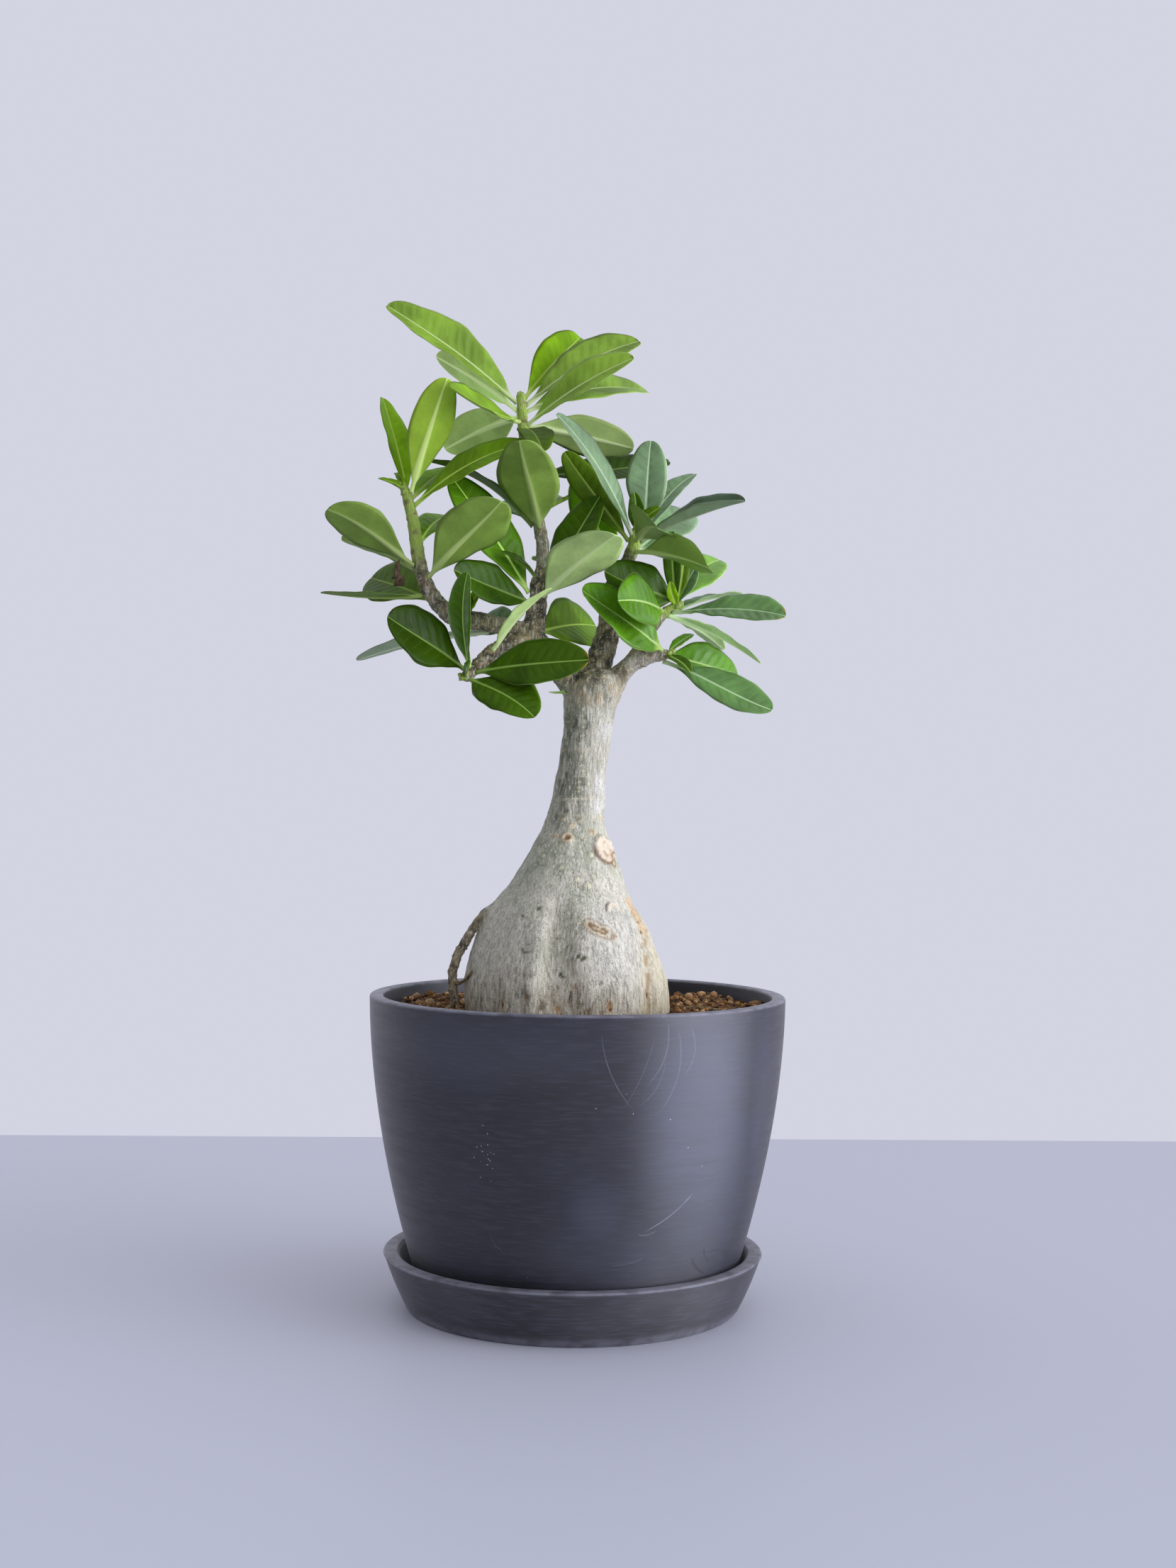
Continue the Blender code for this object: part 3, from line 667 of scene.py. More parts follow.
def point_normals(points, quads):
    """The outward way at each point: the sum of its quads' diagonal cross products."""
    cross = np.cross(points[quads[:, 2]] - points[quads[:, 0]], points[quads[:, 3]] - points[quads[:, 1]])
    total = np.zeros_like(points)
    for corner in range(4):
        for axis in range(3):
            total[:, axis] += np.bincount(quads[:, corner], cross[:, axis], len(points))
    return unit(total)


def limb_places(points):
    """For each point: its limb, the way run along it and left to its tip, turn, radius and share of limb.

    A point is on the limb whose path passes nearest, after the limb's radius is taken off. Its share
    is 0 on the caudex and the trunk and 1 on a limb.
    """
    rows, limbs = [], []
    for index, row in enumerate(LIMBS.values()):
        path = curve_through(row, 1.0)
        run = np.arange(len(path)) * np.linalg.norm(path[1, :3] - path[0, :3])
        rows.append(np.c_[path, run, run[-1] - run, unit(np.gradient(path[:, :3], axis=0))])
        limbs.append(np.full(len(path), index))
    rows, limbs = np.vstack(rows), np.concatenate(limbs)
    nearest = np.empty(len(points), int)
    for start in range(0, len(points), 8192):
        part = points[start:start + 8192]
        gap = np.linalg.norm(part[:, None] - rows[None, :, :3], axis=2) - rows[None, :, 3]
        nearest[start:start + 8192] = gap.argmin(1)
    found = rows[nearest]
    out = points - found[:, :3]
    gap = np.linalg.norm(out, axis=1) - found[:, 3]
    side, other = sideways(found[:, 6:9])
    turn = np.arctan2((out * other).sum(1), (out * side).sum(1))
    limb = limbs[nearest]
    root = limb == list(LIMBS).index("aerial_root")
    high = ramp(points[:, 2], 250, 257)
    low = root * ramp(-points[:, 0], 36, 40) * ramp(-gap, -1.2, 0.2)
    return limb, found[:, 4], found[:, 5], turn, found[:, 3], np.where(root, low, high)


def bark_of_trunk(points, settings):
    """Colour and height of the caudex's and the trunk's bark, before its marks."""
    x, y, z = points.T
    front = ramp(-y, -4, 8)
    pale, green, silver = (
        linear_setting(value) for value in (settings.bark, settings.green_bark, settings.silver_bark))
    streaky = points * (1, 1, 0.16)
    patches = rough(points, 13, 11)
    mottled = rough(points * (1, 1, 0.7), 3.4, 31)
    fine = rough(streaky, 1.5, 21)
    shoulder = hill(z - 184, 9)
    greening = shoulder * (0.75 + 0.6 * patches + 0.25 * mottled) + 0.4 * ramp(patches, 0.1, 0.8)
    greening += 0.15 * ramp(-x, 8, 30) * ramp(z, 118, 140) * ramp(-z, -176, -150)
    # Painted shade: mottled darker olive on the shoulder's left side, away from the light.
    painted_left_shade = shoulder * ramp(-x, -6, 6) * ramp(mottled + 0.6 * patches, -0.3, 0.6)
    # A dark mottled band runs up the trunk on its left and, less, round its back and its right edge.
    trunk = ramp(z, 191, 201)
    lean = x - 0.1 * (z - 206)
    band = trunk * np.maximum(ramp(-lean, -2.6, 0.6) * ramp(lean, -12.5, -8.6), 0.6 * ramp(y, 0, 6))
    band = np.maximum(band, 0.5 * trunk * ramp(lean, 9.2, 11.5)) * (1 - 0.5 * ramp(z, 238, 248))
    whites = ramp(rough(streaky, 2.2, 35), 0.0, 0.7) * ramp(lean, 3, 6) * ramp(z, 196, 206)
    colour = paint(
        mix(np.clip(greening, 0, 1) * 0.85, pale, green), (painted_left_shade * 0.35, "626B50"), (trunk * 0.4, "94947C"),
        (band * ramp(mottled, -0.6, 0.35) * 0.72, "5F6550"), (whites * 0.4, silver))
    for level, tall in ((235, 4), (213, 5), (204, 3)):
        patch = np.exp(-(np.abs((lean - 7.6) / 3.0) ** 3 + np.abs((z - level) / tall) ** 3)) * front
        colour = paint(colour, (patch * 0.7, "DEDCD4"))
    belly = ramp(x, 2, 10) * ramp(-z, -170, -158) * ramp(z, 128, 142)
    pepper = ramp(rough(points * (1, 1, 0.5), 1.4, 41, 2), 0.3, 0.7)
    peppered = 0.8 * band + 0.5 * ramp(-z, -165, -125) * ramp(rough(points, 18, 51), -0.5, 0.6) + 0.15
    colour = paint(colour, (belly * (0.5 + 0.2 * patches), silver),
                   (pepper * np.clip(peppered, 0, 1) * 0.8, "454A33"))
    colour *= (1 + 0.16 * fine)[:, None]
    # Ochre and brown stains reach up from the soil, most of all in the folds at the front.
    fold = hill(x + 1, 13) * front
    stain = ramp(-z, -(136 + 6 * fold), -116) * (0.6 + 0.5 * rough(points * (1, 1, 0.3), 5, 61) + 0.3 * fold)
    dashes = ramp(rough(points * (1, 1, 0.3), 1.3, 71, 2), 0.3, 0.7) * ramp(-z, -158, -124)
    warm = ramp(x, 20, 33) * ramp(-z, -165, -150) * (0.75 + 0.3 * patches)
    colour = paint(colour, (np.clip(stain, 0, 1) * 0.7, "94825C"), (dashes * (0.55 + 0.3 * fold), "5A452C"),
                   (warm * 0.7, "DDD0A2"))
    # Folds: a deep groove left of the middle, steeper on its left, and another down the right flank.
    middle = x + 9.3 + 0.1 * (155 - z)
    groove = hill(middle, np.where(middle < 0, 3.0, 7.5)) * front
    groove *= ramp(z, 116, 134) * ramp(-z, -170, -157)
    ridge = hill(middle + 6.5, 3.4) * front * ramp(z, 116, 128) * ramp(-z, -164, -150)
    flank = x - 26.2 - 0.1 * (150 - z)
    right = hill(flank, 2.3) * ramp(-y, 2, 10) * ramp(z, 110, 122) * ramp(-z, -160, -148)
    behind = hill(x - 6, 5) * ramp(y, 10, 20) * ramp(-z, -168, -150)
    beside = hill(middle - 4.5, 5) * front * ramp(z, 132, 146) * ramp(-z, -172, -160)
    # Painted shade: darker grey-green on the groove's right wall, which faces away from the light, and a
    # mottled dark tone in the groove.
    colour = paint(colour, (beside * 0.45, "7C8167"), (groove * ramp(mottled, -0.6, 0.5) * 0.3, "787052"))
    height = 0.5 * rough(points, 22, 81, 2) * ramp(-z, -200, -150) + 0.2 * rough(points, 5, 85)
    height += 1.0 * ridge - 2.5 * groove - 1.5 * right - 1.8 * behind + 0.16 * fine - 0.12 * pepper
    height += 0.3 * rough(points * (1, 1, 0.25), 3.2, 87, 2) * ramp(-z, -168, -140)
    height += 0.25 * rough(points, 3.0, 89, 2) * ramp(z, 186, 189) * ramp(-z, -200, -196)
    return colour, height


def mark_trunk(points, colour, height):
    """Rings, nodules, moss, cut scars and cracks on the caudex and trunk, laid where they grow."""
    x, y, z = points.T
    front = ramp(-y, 15, 20)

    def away(place, wide, tall):
        """How far each point lies from the skin's point nearest to place, as a share of an ellipsoid."""
        spot = points[np.linalg.norm(points - place, axis=1).argmin()]
        off = points - spot
        return np.sqrt((off[:, 0] ** 2 + off[:, 1] ** 2) / wide ** 2 + off[:, 2] ** 2 / tall ** 2)

    broken = rough(points, 4, 101)
    crumbs = rough(points, 1.3, 105, 2)
    slim = np.hypot(x, y) < TRUNK_REACH
    for level, tilt, strength in TRUNK_RINGS:
        off = z - level - tilt * x - 0.5 * lattice_noise(points / 7, 103)
        line = hill(off, 0.5) * ramp(broken + 0.6 * crumbs, -0.5, 0.35) * strength * slim
        colour = paint(colour, (line, "D8D0B4"))
        height += 0.35 * line - 0.2 * hill(off + 1, 0.5) * strength * slim
    for *spot, radius in NODULES:
        far = away(spot, radius, radius)
        colour = paint(colour, (hill(far - 1.5, 0.35) * 0.45, "5F6548"), (np.exp(-far ** 4), "E0DCB8"))
        height += 0.6 * radius * hill(far, 1)
    for *spot, wide, tall in MOSS:
        far = away(spot, wide, tall) + 0.5 * broken
        colour = paint(colour, (ramp(-far, -1.4, -0.5) * ramp(crumbs, -0.35, 0.15) * 0.9, "414A2A"))
    # Cut scar of a lost branch: a raised pale disc with a brown broken outline and a darker heart.
    far = away((10.4, -10.2, 185.6), 5.2, 6.0) + 0.12 * broken
    disc = ramp(-far, -1.12, -0.85)
    heart = away((13.6, -7.4, 181.6), 2.3, 2.9)
    colour = paint(
        colour, (disc * 0.97, "E9DBC2"), (disc * ramp(crumbs + broken, 0.1, 0.9) * 0.7, "B98A5E"),
        (ramp(-heart, -0.95, -0.6) * 0.5, "D9AE83"), (hill(heart - 1, 0.2) * 0.9, "8E6238"),
        (hill(far - 1.04, 0.08) * ramp(broken, -0.7, 0.1) * 0.9, "7B5430"))
    height += 1.6 * ramp(-far, -1.25, -0.85) - 0.6 * ramp(-far, -0.8, -0.3) + 0.3 * disc * crumbs
    # Ring scar: a small raised collar with a brown middle.
    far = away((-5.1, -13.8, 190.5), 2.2, 2.2)
    colour = paint(colour, (ramp(-far, -1.45, -0.9), "DCCBA8"), (ramp(-far, -0.75, -0.4) * 0.9, "94704A"))
    height += 0.9 * hill(far - 0.85, 0.3) - 0.6 * ramp(-far, -0.5, -0.2)
    for *spot, wide in KNOBS:
        far = away(spot, wide, wide * 0.7) + 0.35 * broken
        knob = ramp(-far, -1.1, -0.6)
        colour = paint(colour, (knob * 0.85, "DCCDA9"), (knob * ramp(crumbs, 0.1, 0.6) * 0.7, "9A7A55"))
        height += 0.55 * knob
    # Peeled arc with a dark edge, and a curled scar.
    far = away((14.5, -20.5, 161.5), 3.4, 3.4)
    arch = hill(far - 1, 0.2) * ramp(z, 160.5, 162.5) * ramp(-x, -17.5, -16)
    dark = hill(far - 1.3, 0.12) * ramp(-x, -13, -11) * ramp(z, 160.5, 162)
    height += 0.5 * arch
    along, level = x - 8, z - 154.8 + 0.45 * (x - 8)
    curl = np.hypot(along / 5.8, level / 2.6) + 0.35 * broken
    scar = ramp(-curl, -1.0, -0.5) * front
    colour = paint(
        colour, (arch, "EBDCBE"), (dark, "3A2716"), (scar * 0.95, "E2CFA8"),
        (hill(curl - 0.45, 0.14) * front * 0.9, "6E4C2A"), (hill(curl - 1.05, 0.1) * front * 0.7, "9A7A50"))
    height += 0.9 * scar - 1.1 * hill(curl - 0.45, 0.2) * front
    # The long crack down the right flank, with dark holes, and a tan seam beside it.
    middle = 20.5 + 0.5 * (166 - z)
    wide = 1.7 * ramp(z, 150.5, 154) * ramp(-z, -168, -165) + 1e-3
    crack = ramp(-np.abs(x - middle + 0.4 * broken) / wide, -1.2, -0.6) * (y < 0) * (wide > 0.1)
    holes = crack * ramp(crumbs, 0.0, 0.3) * ramp(-z, -158.5, -156) * ramp(z, 151.5, 153)
    seam = hill(x - 27.6 - 0.06 * (150 - z) + 0.5 * broken, 0.8) * ramp(z, 117, 122) * ramp(-z, -154, -150)
    colour = paint(
        colour, (crack * 0.95, "DDC298"), (crack * ramp(crumbs, -0.1, 0.5) * 0.6, "AD8150"),
        (holes, "24180E"), (seam * (y < 0) * ramp(crumbs, -0.6, 0.3) * 0.75, "B08A58"))
    height -= 0.4 * crack + 0.7 * holes
    # Dark brown pits with ochre rims, just over the soil.
    for *spot, wide, tall in PITS:
        far = away(spot, wide, tall) + 0.5 * broken
        pit = ramp(-far, -0.8, -0.3)
        colour = paint(colour, (ramp(-far, -1.2, -0.6) * 0.8, "B48C58"),
                       (pit * ramp(crumbs, -0.2, 0.3), "3B2816"))
        height -= 0.5 * pit
    return colour, height


def bark_of_limbs(points, places, colour, height, marked):
    """Colour and height of the limbs' bark: mottled, notched by leaf scars, green at the young tips."""
    limb, run, left, turn, radius, share = places
    streaky = rough(points, 1.6, 121)
    mottling = rough(points, 4.2, 131)
    crumbs = rough(points, 1.5, 133, 2)
    for index, (ground, mottled, amount, relief, green) in enumerate(LIMB_BARK.values()):
        here = limb == index
        along, streak, mottle, crumb = run[here], streaky[here], mottling[here], crumbs[here]
        ink = mix(ramp(mottle + 0.9 * (amount - 0.5), -0.3, 0.5), linear(ground), linear(mottled))
        ink = paint(
            ink, (ramp(streak, 0.35, 0.9) * 0.6, "C2B58F"), (ramp(crumb, 0.15, 0.55) * amount, "2C2818"),
            (ramp(-crumb, 0.25, 0.6) * amount * 0.8, "B7A176"))
        rise = relief * (0.55 * mottle + 0.35 * streak - 0.3 * crumb)
        young = ramp(-left[here], -green, -green * 0.55) if green else np.zeros(len(along))
        ink = mix(young, ink, linear("9FBA4E") * (1 + 0.12 * mottle)[:, None])
        marked[here] = np.maximum(marked[here], 0.85 * young * share[here])
        rise *= 1 - 0.8 * young
        for step in range(int(along.max(initial=0) / SCAR_STEP)):
            round_off = (turn[here] - step * math.radians(SCAR_TURN) + math.pi) % FULL_TURN - math.pi
            far = np.hypot(round_off * radius[here] / 1.7, (along - SCAR_STEP * step - 3) / 0.95)
            scar = np.exp(-far ** 4)
            ink = paint(ink, (scar * 0.7, "6A5436"), (hill(far - 1.3, 0.3) * 0.4, "B8AC84"))
            rise += 0.22 * hill(far - 1.3, 0.4) - 0.2 * scar
        weight = share[here]
        colour[here] = mix(weight, colour[here], ink)
        height[here] = height[here] * (1 - weight) + rise * weight
    return colour, height


def linear_setting(value):
    """A colour setting as an array."""
    return np.array(value[:3], float)


def living_bark(name):
    """Bark of a swollen stem, living and unpeeled: waxy-matt, finely wrinkled along, dotted with pores.

    The pores are 0.4 mm wide on the real stem and are drawn a little wider to show.
    """
    made, node, shader = new_material(name, IOR=1.4)
    place = node("TexCoord", output="Object")
    upright = node("Mapping", place, (0, 0, 0), (0, 0, 0), (1, 1, 0.16))
    wrinkles = node("TexNoise", upright, 1 / (0.9 * MM), 4.0, 0.62, 2.0, 0.3)
    grit = node("TexNoise", place, 1 / (0.7 * MM), 3.0)
    colour = node("Attribute", attribute_name="bark")
    rest = node("Math", 1.0, node("Attribute", attribute_name="marked"), operation="SUBTRACT")
    for source, low, high, start, end, code in (
            (wrinkles, 0.32, 0.48, 0.6, 0.0, "77785F"), (wrinkles, 0.52, 0.66, 0.0, 0.5, "F2EFE2"),
            (grit, 0.58, 0.7, 0.0, 0.5, "58563F"), (grit, 0.27, 0.44, 0.45, 0.0, "F0EDE0")):
        share = node("MapRange", source, low, high, start, end, **SOFT)
        colour = node("Mix", node("Math", rest, share, **TIMES), colour, rgba(code), **COLOUR)
    matt = node("MapRange", wrinkles, 0.3, 0.7, 0.58, 0.78)
    finish_surface(shader, colour, matt, [(wrinkles, 0.9), (grit, 0.35)])
    return made


def make_wood(settings):
    """The wood: caudex, trunk, limbs and aerial root, one skin with bark relief along its normals."""
    points, quads = wood_skin()
    normals = point_normals(points, quads)
    plain, height = bark_of_trunk(points, settings)
    colour, height = mark_trunk(points, plain, height)
    # Where a mark changes the colour, the bark's own wrinkles and pores fade.
    marked = np.clip(np.abs(colour - plain).max(1) * 4, 0, 0.85)
    # The collar under the fork is cracked and tan.
    z = points[:, 2]
    collar = ramp(z, 243, 247) * ramp(-z, -259, -254)
    crust = rough(points * (1, 1, 0.4), 2.4, 141)
    colour = paint(colour, (collar * ramp(crust, -0.2, 0.6) * 0.7, "B79F78"),
                   (collar * ramp(-crust, 0.1, 0.7) * 0.6, "635C44"))
    height += collar * 0.35 * crust
    colour, height = bark_of_limbs(points, limb_places(points), colour, height, marked)
    points = points + normals * (height * settings.relief)[:, None]
    colour = np.clip(colour, 0.01, 0.95)
    wood = mesh_piece("caudex_trunk_and_limbs", points, outward(points, [quads]),
                      living_bark("living_adenium_bark"), {"bark": colour, "marked": marked})
    finish_piece(wood, "wood", "adenium_wood")


# ---- Leaves ----

LEAF_STATIONS = 52
LEAF_HALF_POINTS = 7
LEAF_WIDEST = 0.57
STALK_RADIUS = 0.95
# How far a stalk reaches back into its limb.
STALK_ROOT = 1.1
# A CAD leaf's base: how close together its corners lie, and how far its crease stands over its middle.
BASE_REACH = 2.2
BASE_LIFT = 0.25
VEIN_SPACING = 4.4
VEIN_SLANT = 0.62

# Leaf tones: (upper face, under face, rib above, rib below, roughness above, specular level).
# The under faces are paler as on the real leaves, and brighter still as painted light shining through the
# leaf.
TONES = {
    "young": ("7C9E34", "95AC64", "BCCF8C", "C6D69A", 0.4, 0.2),
    "lime": ("74A006", "7EA01C", "AEC65C", "B6C86C", 0.42, 0.1),
    "fresh": ("6F9418", "8DAE34", "AFC960", "C6DC82", 0.42, 0.2),
    "sage": ("4F7A1E", "76923E", "A3BC5E", "A2B66C", 0.4, 0.22),
    "olive": ("547410", "607C1E", "96B04A", "92AA4C", 0.42, 0.12),
    "deep": ("345004", "4E6C1C", "7FA04A", "839E4E", 0.34, 0.14),
    "mature": ("40640A", "62802C", "93B456", "9AB45E", 0.32, 0.2),
    "bright": ("568A14", "7A9E38", "B2D07C", "AEC86C", 0.25, 0.4),
    "pale": ("6C963A", "ACC67C", "B2CE7C", "C6DA98", 0.4, 0.2),
    "blue": ("6F8C62", "8FA77C", "B2CCA0", "BCCEA4", 0.28, 0.45),
    "dusty": ("5A7F42", "8FAA70", "A5C08F", "B4CA98", 0.34, 0.3),
    "grey": ("4A6140", "76866A", "96AA80", "A0AE8C", 0.34, 0.32),
}
# Painted light and shade on a leaf: shares of the tone's colour, under 1 in shade, over 1 for lit and backlit
# leaves.
PAINTED_SHADE, PLAIN, PAINTED_LIGHT, PAINTED_BRIGHT_LIGHT, PAINTED_GLOW = 0.7, 0.95, 1.25, 1.7, 2.3
# Each leaf in its shoot's order: (tone, widening, ruffle in mm, painted light and shade).
LEAF_LOOKS = {
    "crown": [
        ("young", 0.96, 0.9, PLAIN), ("young", 1, 0.5, PAINTED_GLOW), ("lime", 0.8, 0.6, PLAIN),
        ("young", 1.05, 0.8, PLAIN), ("young", 1.05, 0.5, PAINTED_LIGHT), ("young", 1.15, 0.6, PLAIN),
        ("young", 1, 0.4, PLAIN), ("fresh", 1.5, 0.5, PAINTED_LIGHT), ("young", 1, 0.4, PAINTED_GLOW),
        ("olive", 1, 0.5, PAINTED_SHADE),
    ],
    "left": [
        ("lime", 1, 0.5, PLAIN), ("fresh", 0.86, 0.6, PAINTED_LIGHT), ("lime", 1, 0.4, PLAIN),
        ("olive", 1, 0.6, PAINTED_BRIGHT_LIGHT), ("olive", 1.1, 0.4, PAINTED_GLOW), ("sage", 1, 0.6, PLAIN),
        ("sage", 1, 0.4, PAINTED_LIGHT), ("olive", 1.15, 0.5, PLAIN), ("mature", 1, 0.4, PLAIN),
        ("sage", 1.04, 0.9, PAINTED_LIGHT), ("grey", 1, 0.5, PAINTED_BRIGHT_LIGHT),
    ],
    "low_left": [
        ("deep", 1.06, 0.7, PAINTED_SHADE), ("mature", 1.1, 0.4, PAINTED_BRIGHT_LIGHT), ("deep", 1, 0.7, PAINTED_LIGHT),
        ("deep", 1.06, 0.7, PAINTED_LIGHT), ("pale", 1, 0.5, PAINTED_LIGHT),
    ],
    "middle": [
        ("mature", 1.35, 0.6, PAINTED_SHADE), ("mature", 1.15, 0.6, PAINTED_GLOW), ("deep", 1.12, 0.6, PAINTED_BRIGHT_LIGHT),
        ("pale", 1.08, 0.5, PAINTED_LIGHT), ("olive", 1.35, 0.5, PAINTED_BRIGHT_LIGHT), ("sage", 1.1, 0.4, PLAIN),
    ],
    "stem": [
        ("sage", 0.92, 0.8, PLAIN), ("mature", 1.2, 0.7, PAINTED_SHADE), ("sage", 1, 0.4, PAINTED_LIGHT),
        ("deep", 1.1, 0.4, PAINTED_SHADE), ("olive", 1, 0.4, PAINTED_LIGHT),
    ],
    "upper_right": [
        ("blue", 1.05, 0.4, PLAIN), ("olive", 1.1, 0.5, PLAIN), ("blue", 1.1, 0.5, PAINTED_LIGHT),
        ("grey", 1.3, 0.6, PLAIN), ("grey", 1.1, 0.5, PAINTED_GLOW), ("blue", 1.2, 0.5, PAINTED_LIGHT),
        ("sage", 1.5, 0.5, PAINTED_LIGHT), ("sage", 1.5, 0.5, PAINTED_BRIGHT_LIGHT), ("mature", 1.1, 0.5, PAINTED_GLOW),
    ],
    "right": [
        ("pale", 1.25, 0.6, PAINTED_LIGHT), ("mature", 1.25, 0.6, PAINTED_SHADE), ("bright", 1.45, 0.2, PLAIN),
        ("dusty", 1.3, 0.6, PAINTED_LIGHT), ("dusty", 1.1, 0.5, PLAIN), ("dusty", 1, 0.5, PAINTED_BRIGHT_LIGHT),
        ("dusty", 1, 0.6, PAINTED_GLOW),
    ],
    "low_right": [
        ("bright", 1.3, 0.6, PLAIN), ("bright", 1.1, 0.6, PLAIN), ("dusty", 1.04, 0.7, PAINTED_LIGHT),
    ],
}
# Leaves that bend or turn their own way: (twist in degrees, sideways bow in mm, widest at, roll in degrees).
LEAF_BENDS = {
    "leaf_crown_01": (-8, 1.5, 0.54, 0), "leaf_crown_02": (10, -1, 0.6, 0),
    "leaf_crown_03": (25, -1.5, 0.6, 0), "leaf_crown_04": (8, 0, 0.6, 0), "leaf_crown_05": (-6, 0, 0.6, 0),
    "leaf_crown_08": (0, 1, 0.57, -14), "leaf_left_01": (18, 1, 0.58, 0), "leaf_left_02": (-6, 0, 0.6, 0),
    "leaf_left_06": (-12, 2, 0.64, 0), "leaf_left_10": (8, 2, 0.6, 0),
    "leaf_low_left_01": (6, 1.5, 0.62, 0), "leaf_low_left_02": (12, 1.5, 0.5, 0),
    "leaf_low_left_03": (8, -1, 0.55, 0), "leaf_low_left_04": (-10, 1.5, 0.56, 0),
    "leaf_low_right_01": (16, 2, 0.5, 0), "leaf_low_right_03": (-14, -3, 0.66, 0),
    "leaf_middle_01": (0, 1, 0.57, -12), "leaf_middle_02": (-14, 1, 0.52, 0),
    "leaf_middle_04": (8, 1, 0.55, 0), "leaf_middle_05": (0, 0, 0.56, 20), "leaf_right_01": (10, 2, 0.6, 0),
    "leaf_right_02": (10, 2, 0.52, 0), "leaf_right_03": (0, 0, 0.56, -38),
    "leaf_right_04": (6, 1.5, 0.64, 12), "leaf_stem_01": (0, -1, 0.48, 0),
    "leaf_upper_right_01": (14, -1.5, 0.56, 0), "leaf_upper_right_03": (-6, 0.5, 0.56, 0),
    "leaf_upper_right_07": (0, 0, 0.56, -30), "leaf_upper_right_08": (0, 1, 0.64, -22),
}
# Leaves whose tips have begun to yellow: share of the length from which it shows.
BLUSHED = {"leaf_low_left_03": 0.93, "leaf_right_04": 0.92}
# Past every tip: a leaf that has not begun to yellow.
NO_BLUSH = 1.5
# Leaves that stand up in pleats between their side veins: depth in mm.
PLEATED = {"leaf_crown_01": 0.28, "leaf_crown_04": 0.1, "leaf_low_right_01": 0.25, "leaf_right_04": 0.25}


def outline(share, widest=LEAF_WIDEST):
    """Half width as a share of the widest: sin(pi s^p)^(0.95 - 0.5 s), widest at a share of the length."""
    power = math.log(0.5) / math.log(widest)
    return np.sin(np.pi * share ** power) ** (0.95 - 0.5 * share)


def leaf_bones(node):
    """Where a CAD leaf lies: base, axes (along, across, up), length, half width, fold and arch.

    The leaf's tip and base are its two corners that lie farthest apart, and the base is the one with
    four corners close by. Of those four the midrib stands apart, and the crease is the middle one.
    """
    points = np.unique(node_points(node).round(3), axis=0)
    gaps = np.linalg.norm(points[:, None] - points[None], axis=2)
    ends = np.unravel_index(gaps.argmax(), gaps.shape)
    base, tip = sorted(ends, key=lambda k: -(gaps[k] < BASE_REACH).sum())
    ring = np.argsort(gaps[base])[:4]
    keel = ring[gaps[np.ix_(ring, ring)].sum(0).argmax()]
    rest = np.array([k for k in ring if k != keel])
    crease = rest[np.linalg.norm(points[rest] - points[rest].mean(0), axis=1).argmin()]
    up = unit(points[crease] - points[keel])
    origin = points[crease] - BASE_LIFT * up
    along = unit(points[tip] - origin)
    up = unit(up - along * up.dot(along))
    axes = np.array([along, np.cross(up, along), up])
    length = np.linalg.norm(points[tip] - origin)
    local = (points - origin) @ axes.T
    middle = local[np.abs(local[:, 0] / length - 0.5) < 0.02]
    edge = middle[middle[:, 1].argmax()]
    arch = middle[np.abs(middle[:, 1]) < 0.1][:, 2].max() - BASE_LIFT
    half = math.hypot(edge[1], edge[2] - arch) / outline(0.5)
    return origin, axes, length, half, math.atan2(edge[2] - arch, edge[1]), arch


